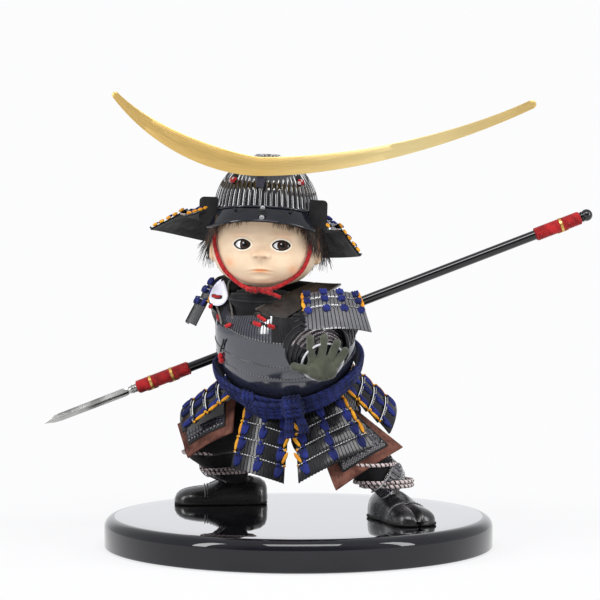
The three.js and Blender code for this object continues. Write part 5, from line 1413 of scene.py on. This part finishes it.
edge = [almond(a) for a in turns(48)]
for side, sign in (("right", -1), ("left", 1)):
    middle = Vector((FACE_SHIFT + sign * EYE_SPACING / 2, EYE_LEVEL))

    def glass(at, lift):
        share = min(1, at.length / edge_towards(at))
        return on_face(*(middle + at), 0.1 + 1.0 * (1 - share ** 2) + lift)

    eye = Piece()
    eye.grid([[glass(p * r, 0) for p in edge] for r in (0.06, 0.25, 0.45, 0.65, 0.8, 0.92, 1.02)])
    look = Vector((1.25 - 0.25 * sign, 0.1))
    rows = []
    for r in (0.05, 0.4, 0.8, 1.2, 1.6, 2.0, 2.5, 3.0, IRIS_RADIUS):
        spots = [look + Vector((r * cos(a), r * sin(a))) for a in turns(40)]
        rows.append([glass(p * min(1, edge_towards(p) * 0.97 / p.length), 0.14) for p in spots])
    eye.grid(rows, 1)
    # The small white dot at the upper left of each iris is a painted highlight.
    eye.ball(glass(look + Vector((-0.9, 1.0)), 0.2), (0.5, 0.16, 0.5), sides=10, rings=6)
    lashes = [on_face(middle.x + p.x * 1.02, middle.y + p.y * 1.02, 0.35) for p in edge]
    sizes = [0.72] * 25 + [0.55] * 23
    eye.tube(lashes + lashes[:1], sizes + sizes[:1], 8, 2)
    lids = [on_face(middle.x + p.x * 1.2, middle.y + p.y * 1.34, 0.1) for p in edge]
    eye.tube(lids + lids[:1], 0.75, 8, 3)
    eye.made(f"glass_eye_{side}", [eye_white, iris, lash, lid], 60, f"eye_{side}", "eye", **worn)

# Hair: a wig of dark brown silk, combed down round the sides and back, with a thin fringe
# that shows under the visor.
BOWL_RADIUS = 36
BOWL_RIM = 55.5
BOWL_RISE = 36
hair_tones = [
    finish_of(
        name, mottle, (2.5, 0.4), dark, light, (0.4, 0.65), [("Fine", 0.4, 0.2)], {"Sheen Weight": 0.15}
    )
    for name, dark, light in (
        ("hair_silk", (0.009, 0.006, 0.005), (0.035, 0.021, 0.014)),
        ("hair_fringe", (0.07, 0.03, 0.014), (0.24, 0.11, 0.055)),
    )
]
comb = random.Random(7)
wig = Piece()


def wig_foot(heading):
    away = min(heading, 360 - heading)
    t = min(max((away - 106) / 22, 0), 1)
    return 37 + (13 - 37) * t * t * (3 - 2 * t)


def wig_face(u, v):
    heading = 74 + 212 * u
    low = wig_foot(heading)
    ripple = 0.3 * sin(heading * 1.9) + 0.2 * sin(heading * 4.7 + 3 * v)
    return on_head(heading, low + (BOWL_RIM + 4 - low) * v, 1.0 + ripple * (1 - v))


def lock(heading, start, end, proud, flick, size=0.5, finish=0):
    """One tapering lock that lies down the head and stands off at its tip."""
    sway = comb.uniform(-4, 4)
    spots = []
    for t in shares(5):
        spots.append(on_head(heading + sway * t * t, start + (end - start) * t, proud + flick * t * t))
    wig.tube(spots, [size * (1 - 0.85 * t ** 1.5) for t in shares(5)], 4, finish)


wig.shell(wig_face, 90, 12, 2.0)
for k in range(520):
    heading = comb.uniform(72, 288)
    start, end = comb.uniform(42, 53), wig_foot(heading) - comb.uniform(-3, 6)
    lock(heading, start, end, comb.uniform(2.6, 3.4), comb.uniform(0, 4))
for k in range(240):
    heading = comb.choice((-1, 1)) * comb.uniform(98, 124)
    lock(heading, comb.uniform(44, 52), comb.uniform(14, 32), 2.6, comb.uniform(3, 12))
for k in range(220):
    away = comb.uniform(49, 84)
    heading = comb.choice((-1, 1)) * away
    low = (28 if heading < 0 else 22) + max(0, 62 - away) * 0.8
    start, end = comb.uniform(46, 51), comb.uniform(low, low + 9)
    lock(heading, start, end, 4.4, comb.uniform(-0.6, 0.8), 0.5, k % 5 == 0)
for k in range(150):
    heading = comb.choice((comb.uniform(-52, -16), comb.uniform(14, 40), comb.uniform(30, 62)))
    end = 44.5 - 0.02 * max(0, heading - 12) ** 1.55 - 0.03 * max(0, -heading)
    lock(heading, 50, end + comb.uniform(-1.5, 2.5), 0.7, 0.5, 0.26, k % 3 > 0)
wig.made("wig", hair_tones, 70, "hair", "hair", **worn)

# Chin cord: a red silk cord from under the helmet, down both cheeks and below the chin,
# where it is tied and its end hangs to the doll's left.
CHIN_CORD_RADIUS = 1.5
JAW = 22
CHIN = 26
RIGHT_CHEEK = [(-70, 50), (-63, 40), (-57, 30), (-50, 20), (-46, 12)]
LEFT_CHEEK = [(52, 12), (56, 20), (60, 30), (64, 40), (70, 50)]
red_deep = cloth("red_deep", (0.2, 0.003, 0.005), (0.4, 0.01, 0.014), 0.5, 0.35, 0.65)
under = 4 - CHIN_CORD_RADIUS - 0.3
line = [on_head(*spot, 2.1) for spot in RIGHT_CHEEK]
line += [
    (-JAW * 0.5, -CHIN * 0.9, under + 1.5), (0, -CHIN * 0.94, under), (JAW * 0.5, -CHIN * 0.9, under + 1.5)
]
line += [on_head(*spot, 2.3) for spot in LEFT_CHEEK]
chin_cord = Piece()
twisted(chin_cord, finely(smooth(line, 12), 0.6), CHIN_CORD_RADIUS, 4.5, [0, 1, 0])
for k in range(7):
    spot = (-7.5 + 2.5 * k, -CHIN * 0.98 - 0.8 * (k % 2), under - 0.9 + 0.5 * cos(2 * k))
    chin_cord.ball(spot, (1.9, 1.7, 1.7), k % 2, Matrix.Rotation(0.7 * k, 3, "Y"), 10, 8)
tail = [(0, -CHIN, under - 1), (JAW * 0.36, -CHIN * 1.06, under - 2.5), (JAW * 0.68, -CHIN * 1.04, under - 5)]
twisted(chin_cord, finely(smooth(tail, 10), 0.6), 1.35, 4.5, [0, 1, 0])
chin_cord.made("chin_tie", [red_silk, red_deep], 60, "chin_cord", "red_cord", **worn)

# Helmet bowl: narrow lacquered plates riveted edge to edge, so that upright ridges run from the rim
# to a hole at the crown. Small red cords are knotted through it at the sides.
FLUTES = 62
FLUTE_STEPS = 8
helmet_lacquer = lacquer("helmet_lacquer", (0.006, 0.006, 0.008), 0.07, 1.8, 9)


def on_bowl(heading, rise, proud=0.0):
    """A point of the bowl at a turn and a rise of 0 to 90 degrees."""
    b = radians(rise)
    r = BOWL_RADIUS * cos(b) ** 0.85 + proud * cos(b)
    return at_heading(heading, BOWL_RIM + BOWL_RISE * sin(b) + proud * sin(b), r, r)


bowl = Piece()
around = range(FLUTES * FLUTE_STEPS)
rows = []
for rise in (88, 70, 50, 30, 15, 0):
    rows.append([on_bowl(360 * s / len(around), rise, -1.5) for s in around])
for rise in (0, 1.5, 4, 7, 11, 16, 22, 28, 35, 42, 49, 56, 63, 70, 76, 82, 87):
    depth = 0.8 * (1 - (rise / 90) ** 3) * min(1, rise / 4)
    flutes = [sin(pi * (s / FLUTE_STEPS % 1)) ** 0.45 for s in around]
    rows.append([on_bowl(360 * s / len(around), rise, -depth * flutes[s]) for s in around])
bowl.grid(rows)
bowl.tube([on_bowl(h, 1, 0.1) for h in range(0, 361, 3)], 0.8)
for heading in (-40, 52):
    turn = Matrix.Rotation(radians(heading), 3, "Z")
    bowl.ball(on_bowl(heading, 38, 0.2), (3.0, 0.9, 2.6), 2, turn, 12, 8)
    for k in range(6):
        spot = on_bowl(heading - 3.4 + 1.4 * k, 31 + 2.6 * (k % 2), 1.0)
        bowl.ball(spot, (1.3, 1.2, 1.3), 1 if k % 3 else 3, turn, 8, 6)
finishes = [helmet_lacquer, red_silk, black_silk, pale_silk]
bowl.made("bowl_plates", finishes, 38, "helmet_bowl", "armour_lacquer", **worn)

# Visor: a smooth lacquered steel band riveted under the front of the bowl, with a rolled lower edge.
# Two rivets and a black tie sit at its middle.
VISOR_HALF_ANGLE = 54
visor_lacquer = lacquer("visor_lacquer", (0.006, 0.007, 0.011), 0.12, 1.42, 9, 0.35)


def visor_face(u, v, lift=0.0):
    side = 2 * u - 1
    fade = sqrt(max(0, cos(radians(90 * side))))
    droop = 10 * v * (0.75 + 0.25 * fade) + 7.5 * side ** 2 * (0.3 + 0.7 * v)
    r = BOWL_RADIUS + 0.6 + 8 * v ** 0.8 + lift
    return at_heading(VISOR_HALF_ANGLE * side, BOWL_RIM + 2.5 - droop, r, r)


visor = Piece()
visor.shell(visor_face, 60, [0, 0.05, 0.2, 0.4, 0.6, 0.8, 0.95, 1], 1.3)
for v, lift, radius in ((0.99, 0.5, 0.85), (0.02, 0.9, 0.7)):
    visor.tube([visor_face(u, v, lift) for u in shares(60)], radius)
for v, size in ((0.12, 1.7), (0.78, 1.9)):
    visor.ball(visor_face(0.53, v, 1.5), (size, size * 0.7, size), 1, sides=14, rings=9)
for k in range(3):
    spot = visor_face(0.53, 0.32 + 0.14 * k, 1.6)
    tie = [spot + Vector((x, -0.5 * (1 - (x / 3) ** 2), 0)) for x in (-2.6, -1.3, 0, 1.3, 2.6)]
    visor.tube(tie, 0.75, 7, 2)
for u in (0.27, 0.79):
    visor.ball(visor_face(u, 0.2, 1.3), (1.3, 0.8, 1.0), 2)
finishes = [visor_lacquer, edge_metal, black_silk]
visor.made("visor_plate", finishes, 45, "helmet_visor", "armour_lacquer", **worn)

# Neck guard: two flared lacquered lames laced in navy round the sides and back.
# The ends of the upper one turn back beside the visor as flaps covered in matt black leather.
NECK_DROOP = 0.18
BACK_DROOP = 0.2
LACES = 17
FLAP_WIDTH = 12.0
FLAP_HEIGHT = 18.0
FLAP_CORNER = 3.0

# Each lame: the heading of its end, then radius and level of its inner and its outer edge
LAMES = {"upper": (63, (37.5, 57), (55, 47)), "lower": (88, (53, 51.6), (73, 34))}
flap_leather = leather("flap_leather", (0.004, 0.004, 0.005), (0.009, 0.009, 0.01), 0.6, 0.7)
lame_finishes = [scale_lacquer, plate_lacquer, lace_navy, amber_silk, flap_leather, cord_black, cord_white]
for level, (start, inner, outer) in LAMES.items():
    def lame(u, v, lift=0.0):
        heading = start + (360 - 2 * start) * u
        lean = NECK_DROOP * sin(radians(heading))
        spread = inner[0] + (outer[0] - inner[0]) * v - BOWL_RADIUS
        droop = lean + BACK_DROOP * max(0, -cos(radians(heading))) ** 2
        z = inner[1] + (outer[1] - inner[1]) * v ** 0.9 - spread * droop
        r = BOWL_RADIUS + spread * (1 - lean)
        return at_heading(heading, z + lift, r, r)

    guard = Piece()
    guard.shell(lame, 72, [0, 0.05, 0.25, 0.5, 0.75, 0.95, 1], 1.2, lambda r, s: 0 if s < 6 else 4)
    guard.tube([lame(u, 0.99, 0.6) for u in shares(90)], 0.75, 8, 1)
    dotted(guard, [lame(u, 0.8, 1.7) for u in shares(90)], 5, 6, 0.4)
    for k in range(LACES + 1):
        u = 0.012 + 0.976 * k / LACES
        for v, size in ((0.12, 1.7), (0.45, 2.0), (0.7, 1.6)):
            heading = atan2(*(lame(u, v).xy * Vector((1, -1))))
            turn = Matrix.Rotation(heading, 3, "Z") @ Matrix.Rotation(radians(35), 3, "X")
            guard.ball(lame(u, v, 1.7), (1.4, size * 1.3, 0.9), 2, turn, 8, 6)
    for u in (0.003, 0.997):
        for v in (0.1 + 0.19 * k for k in range(5)):
            ahead = (lame(u, v + 0.1) - lame(u, v)).normalized()
            guard.ball(lame(u, v, 1.2), (1.1, 1.1, 2.0), 3, ahead.to_track_quat("Z", "X").to_matrix(), 8, 6)
    for sign, bend in ((-1, 2.6), (1, 0)) if level == "upper" else ():
        quarter = [pi / 2 * t for t in shares(6)]
        x, z = FLAP_WIDTH - FLAP_CORNER, FLAP_HEIGHT - FLAP_CORNER
        shape = [(0, 0)] + [(x + FLAP_CORNER * sin(a), FLAP_CORNER * (1 - cos(a))) for a in quarter]
        shape += [(x + FLAP_CORNER * cos(a), z + FLAP_CORNER * sin(a)) for a in quarter] + [(0, FLAP_HEIGHT)]
        foot = at_heading(56 * sign, BOWL_RIM - 10, 38, 38)
        spin = Matrix.Rotation(radians(14 * sign), 3, "Z")
        centre = Vector((FLAP_WIDTH / 2, FLAP_HEIGHT / 2))
        layers = []
        for share, y in ((0.9, 0.0), (1.0, -0.25), (1.0, -1.0), (0.9, -1.35)):
            ring = [centre + (Vector(p) - centre) * share for p in shape]
            layers.append([foot + spin @ Vector((sign * p.x, y + bend - 0.02 * p.x ** 2, p.y)) for p in ring])
        guard.grid(layers, 4)
    guard.made(f"guard_lame_{level}", lame_finishes, 40, f"neck_guard_{level}", "armour_lacquer", **worn)

# Crown piece: a turned and chased metal rosette in tiers that covers the hole at the top.
# The lacquered tongue in front of it, which holds the crest, keeps the frame's own form.
TIERS = [
    (0.4, 90.5), (10.5, 90.5), (10.5, 91.7), (10.1, 92.1), (9.6, 92.1), (9.6, 93.0), (9.2, 93.3), (8.4, 93.3),
    (8.4, 93.9), (7.8, 94.1), (5.6, 94.1), (5.0, 93.6), (0.4, 93.3),
]
PETALS = 16
finial_metal = finish_of(
    "finial_metal", mottle, (4, 0.5), (0.4, 0.4, 0.42), (0.62, 0.62, 0.64), (0.18, 0.36), sockets=METAL
)
rows = []
for k, (r, z) in enumerate(TIERS):
    depth = 0.07 if 1 <= k <= 7 else 0.0
    sizes = [r * (1 - depth * (1 - abs(sin(PETALS / 2 * a)) ** 0.5)) for a in turns(96)]
    rows.append([at_heading(degrees(a), z, size, size) for a, size in zip(turns(96), sizes)])
finial = Piece()
finial.grid(rows)
finial.made("crown_rosette", [finial_metal], 35, "helmet_finial", "armour_lacquer", **worn)
refinish("crest_holder", plate_lacquer)

# Crest: a wide crescent cut from brass sheet, brushed lengthways and gilt, with two unlike arms.
# A socket behind its middle slips over the tongue on the bowl, so it lifts off.
CREST_DEPTH = 12.5
TIP = 5
RIGHT_SPAN, RIGHT_RISE = 181, 45.5
LEFT_SPAN, LEFT_RISE = -100, 52
SOCKET_FOOT = 1.0
SOCKET_TOP = 6.2
gold, tree, shader = new_finish("gold", {"Metallic": 0.85})
streaks = {"Vector": node(tree, "UVMap", uv_map="flat")["UV"], "Scale": (2.8, 0.05, 1)}
grain = {"Vector": node(tree, "Mapping", streaks)["Vector"], "Scale": 1, "Detail": 3}
brushing = node(tree, "TexNoise", grain)["Fac"]
brushed = mixed(brushing, (0.64, 0.42, 0.13), (0.77, 0.54, 0.2), 0.3, 0.7)
# The gold turns pale towards the middle of the arm on the viewer's right: a painted highlight.
along = node(tree, "SeparateXYZ", {0: node(tree, "TexCoord")["Object"]})["X"]
painted_gleam = ranged(calc("ABSOLUTE", calc("SUBTRACT", along, 0.075)), 0.8, 0, 0, 0.1)
painted_highlight = node(tree, "Mix", {"Factor": painted_gleam, "A": brushed, "B": (0.98, 0.82, 0.42, 1)}, data_type="RGBA")
feed(shader["Base Color"], painted_highlight["Result"])
feed(shader["Roughness"], ranged(brushing, 0.38, 0.5))
bump_from(shader, brushing, 0.02, 0.1)

x, z, depth = RIGHT_SPAN, RIGHT_RISE, CREST_DEPTH
lower = ((0, 0), (x * 0.33, 0), (x * 0.73, z * 0.48), (x, z))
upper = ((0, depth), (x * 0.33, depth), (x * 0.73, z * 0.48 + depth * 0.55), (x - TIP * 0.6, z + TIP))
right_arm = list(zip(bezier(lower, 60), bezier(upper, 60)))
x, z = LEFT_SPAN, LEFT_RISE
lower = ((0, 0), (x * 0.36, 0), (x * 0.76, z * 0.4), (x, z))
upper = ((0, depth), (x * 0.22, depth * 1.2), (x * 0.72, z * 0.6), (x + TIP * 0.6, z + TIP * 0.7))
left_arm = list(zip(bezier(lower, 44), bezier(upper, 44)))
SECTION = [
    (1, -0.35), (0.93, 0), (-0.93, 0), (-1, -0.35), (-1, -1.0), (-0.9, -1.3), (0, -1.4), (0.9, -1.3),
    (1, -1.0),
]
rows = []
for low, high in left_arm[:0:-1] + right_arm:
    middle = (low + high) / 2
    spots = [middle + (low - middle) * share for share, y in SECTION]
    rows.append([Vector((spot.x, y, spot.y)) for spot, (share, y) in zip(spots, SECTION)])
crest = Piece()
crest.grid(rows)
for low, high in (left_arm[-1], right_arm[-1]):
    spot = (low + high) / 2
    size = (low - high).length / 2 * 0.98
    crest.ball((spot.x, -0.7, spot.y), (size, 0.66, size), sides=20, rings=10)

# The walls of the socket: left edge and width, back and depth, level and height
for left, wide, back, deep, level, tall in (
    (-4.9, 1.4, 4.2, 4.2, SOCKET_FOOT, -5.2), (3.5, 1.4, 4.2, 4.2, SOCKET_FOOT, -5.2),
    (-4.9, 9.8, 4.3, 1.4, SOCKET_FOOT, -5.2), (-4.9, 9.8, 4.3, 4.3, SOCKET_TOP, 1.2),
):
    crest.shell(lambda u, v: Vector((left + wide * u, back - deep * v, level)), 2, 2, tall)
crest_place = head @ placed((0, -39, 78), y=-1.5)
crest.made("gilt_crescent", [gold], 30, "crest", "crest_gold", "crest", crest_place)

# Spear shaft: a straight rod of wood in black lacquer, which slides through the shut hand
# and ends in a small lacquered knob.
SHAFT_RADIUS = 3.5
SHAFT_START = -77.5
SHAFT_END = 264.8
KNOB_RADIUS = 4.3
spear_lacquer = lacquer("spear_lacquer", (0.004, 0.004, 0.005), 0.05, 1.4, 20, 0.6)
held = {"body": "spear", "place": spear_frame}
shaft = Piece()
length = SHAFT_END - SHAFT_START
shaft.lathe([(SHAFT_RADIUS, SHAFT_START + length * t) for t in shares(24)], 32, lying=True)
shaft.made("shaft_rod", [spear_lacquer], 60, "spear_shaft", "spear_lacquer", **held)
knob = Piece()
bend = [radians(6 * k) for k in range(31)]
knob.lathe([(KNOB_RADIUS * sin(a) + 0.05, 269.2 - KNOB_RADIUS * cos(a)) for a in bend], 32, lying=True)
knob.lathe([(3.2, 264.9), (3.9, 265.3), (3.9, 266.2), (3.2, 266.6)], 32, lying=True)
knob.made("shaft_knob", [spear_lacquer], 50, "spear_butt", "spear_lacquer", **held)

# Grips: red cord wound closely round the shaft behind the blade and near the knob,
# bound over with narrow gilt bands.
GRIPS = {"front": (-77.5, -37, (-66.7, -50.5)), "rear": (229.5, 264.5, (249.5,))}
CORD_PITCH = 1.25
thin_gilt = finish_of(
    "thin_gilt", mottle, (2, 0.4), (0.6, 0.35, 0.08), (0.85, 0.6, 0.22), (0.25, 0.5), sockets=METAL
)
for where, (start, end, bands) in GRIPS.items():
    grip = Piece()
    winds = round((end - start) / CORD_PITCH)
    coil = []
    for t in shares(winds * 22):
        a = 2 * pi * winds * t
        coil.append((start + 0.7 + (end - start - 1.4) * t, 4.3 * cos(a), 4.3 * sin(a)))
    grip.tube(coil, 0.68, 6, lambda r, s: (r // 3 + s) % 4 == 0)
    grip.lathe([(3.8, start), (4.2, start + 0.3), (4.2, end - 0.3), (3.8, end)], 24, 1, True)
    for spot in bands:
        ring = ((4.4, -1.2), (5.1, -0.9), (5.15, 0), (5.1, 0.9), (4.4, 1.2))
        grip.lathe([(r, spot + off) for r, off in ring], 28, 2, True)
        for a in [radians(-100 + 14 * k) for k in range(3)]:
            grip.tube([(spot + off, 5.0 * cos(a), 5.0 * sin(a)) for off in (-4, 0, 4)], 0.35, 5, 2)
    finishes = [red_silk, red_deep, thin_gilt]
    grip.made(f"grip_cord_{where}", finishes, 60, f"spear_wrap_{where}", "red_cord", **held)

# Blade: a forged steel point of diamond section with a ridge along both faces,
# seated in a steel ferrule at the shaft's end.
BLADE_LENGTH = 66
BLADE_HALF_WIDTH = 3.1
BLADE_HALF_THICKNESS = 1.7
FERRULE_END = -77.8
FERRULE_START = -83.8
blade_steel = finish_of(
    "blade_steel", mottle, (12, 0.5), (0.4, 0.4, 0.38), (0.56, 0.56, 0.54), (0.2, 0.3), sockets=METAL,
    gloss="Slow",
)
ferrule = Piece()
profile = [
    (2.2, FERRULE_START), (2.5, FERRULE_START + 0.4), (2.7, -81.5), (3.2, -81.2), (3.2, -80.4), (2.8, -80.2),
    (3.1, FERRULE_END - 0.5), (2.9, FERRULE_END),
]
ferrule.lathe(profile, 28, lying=True)
ferrule.made("blade_ferrule", [blade_steel], 40, "spear_ferrule", "steel", **held)
sections = [(0, 0.7, 0.9), (0.03, 0.95, 1), (0.06, 1, 1)]
sections += [(0.1 * k, 1 - 0.01 * k, 1 - 0.012 * k) for k in range(1, 9)]
sections += [(0.87, 0.78, 0.8), (0.93, 0.5, 0.58), (0.97, 0.26, 0.32), (1, 0.05, 0.08)]
DIAMOND = [
    (0, 1), (-0.35, 0.55), (-1, 0.08), (-1, -0.08), (-0.35, -0.55), (0, -1), (0.35, -0.55), (1, -0.08),
    (1, 0.08), (0.35, 0.55),
]
rows = []
for share, wide, thick in sections:
    x = FERRULE_START - 0.3 - BLADE_LENGTH * share
    w, t = BLADE_HALF_WIDTH * wide, BLADE_HALF_THICKNESS * thick
    rows.append([Vector((x, t * y, w * z)) for y, z in DIAMOND])
blade = Piece()
blade.grid(rows)
blade.made("blade_point", [blade_steel], 12, "spear_blade", "steel", **held)
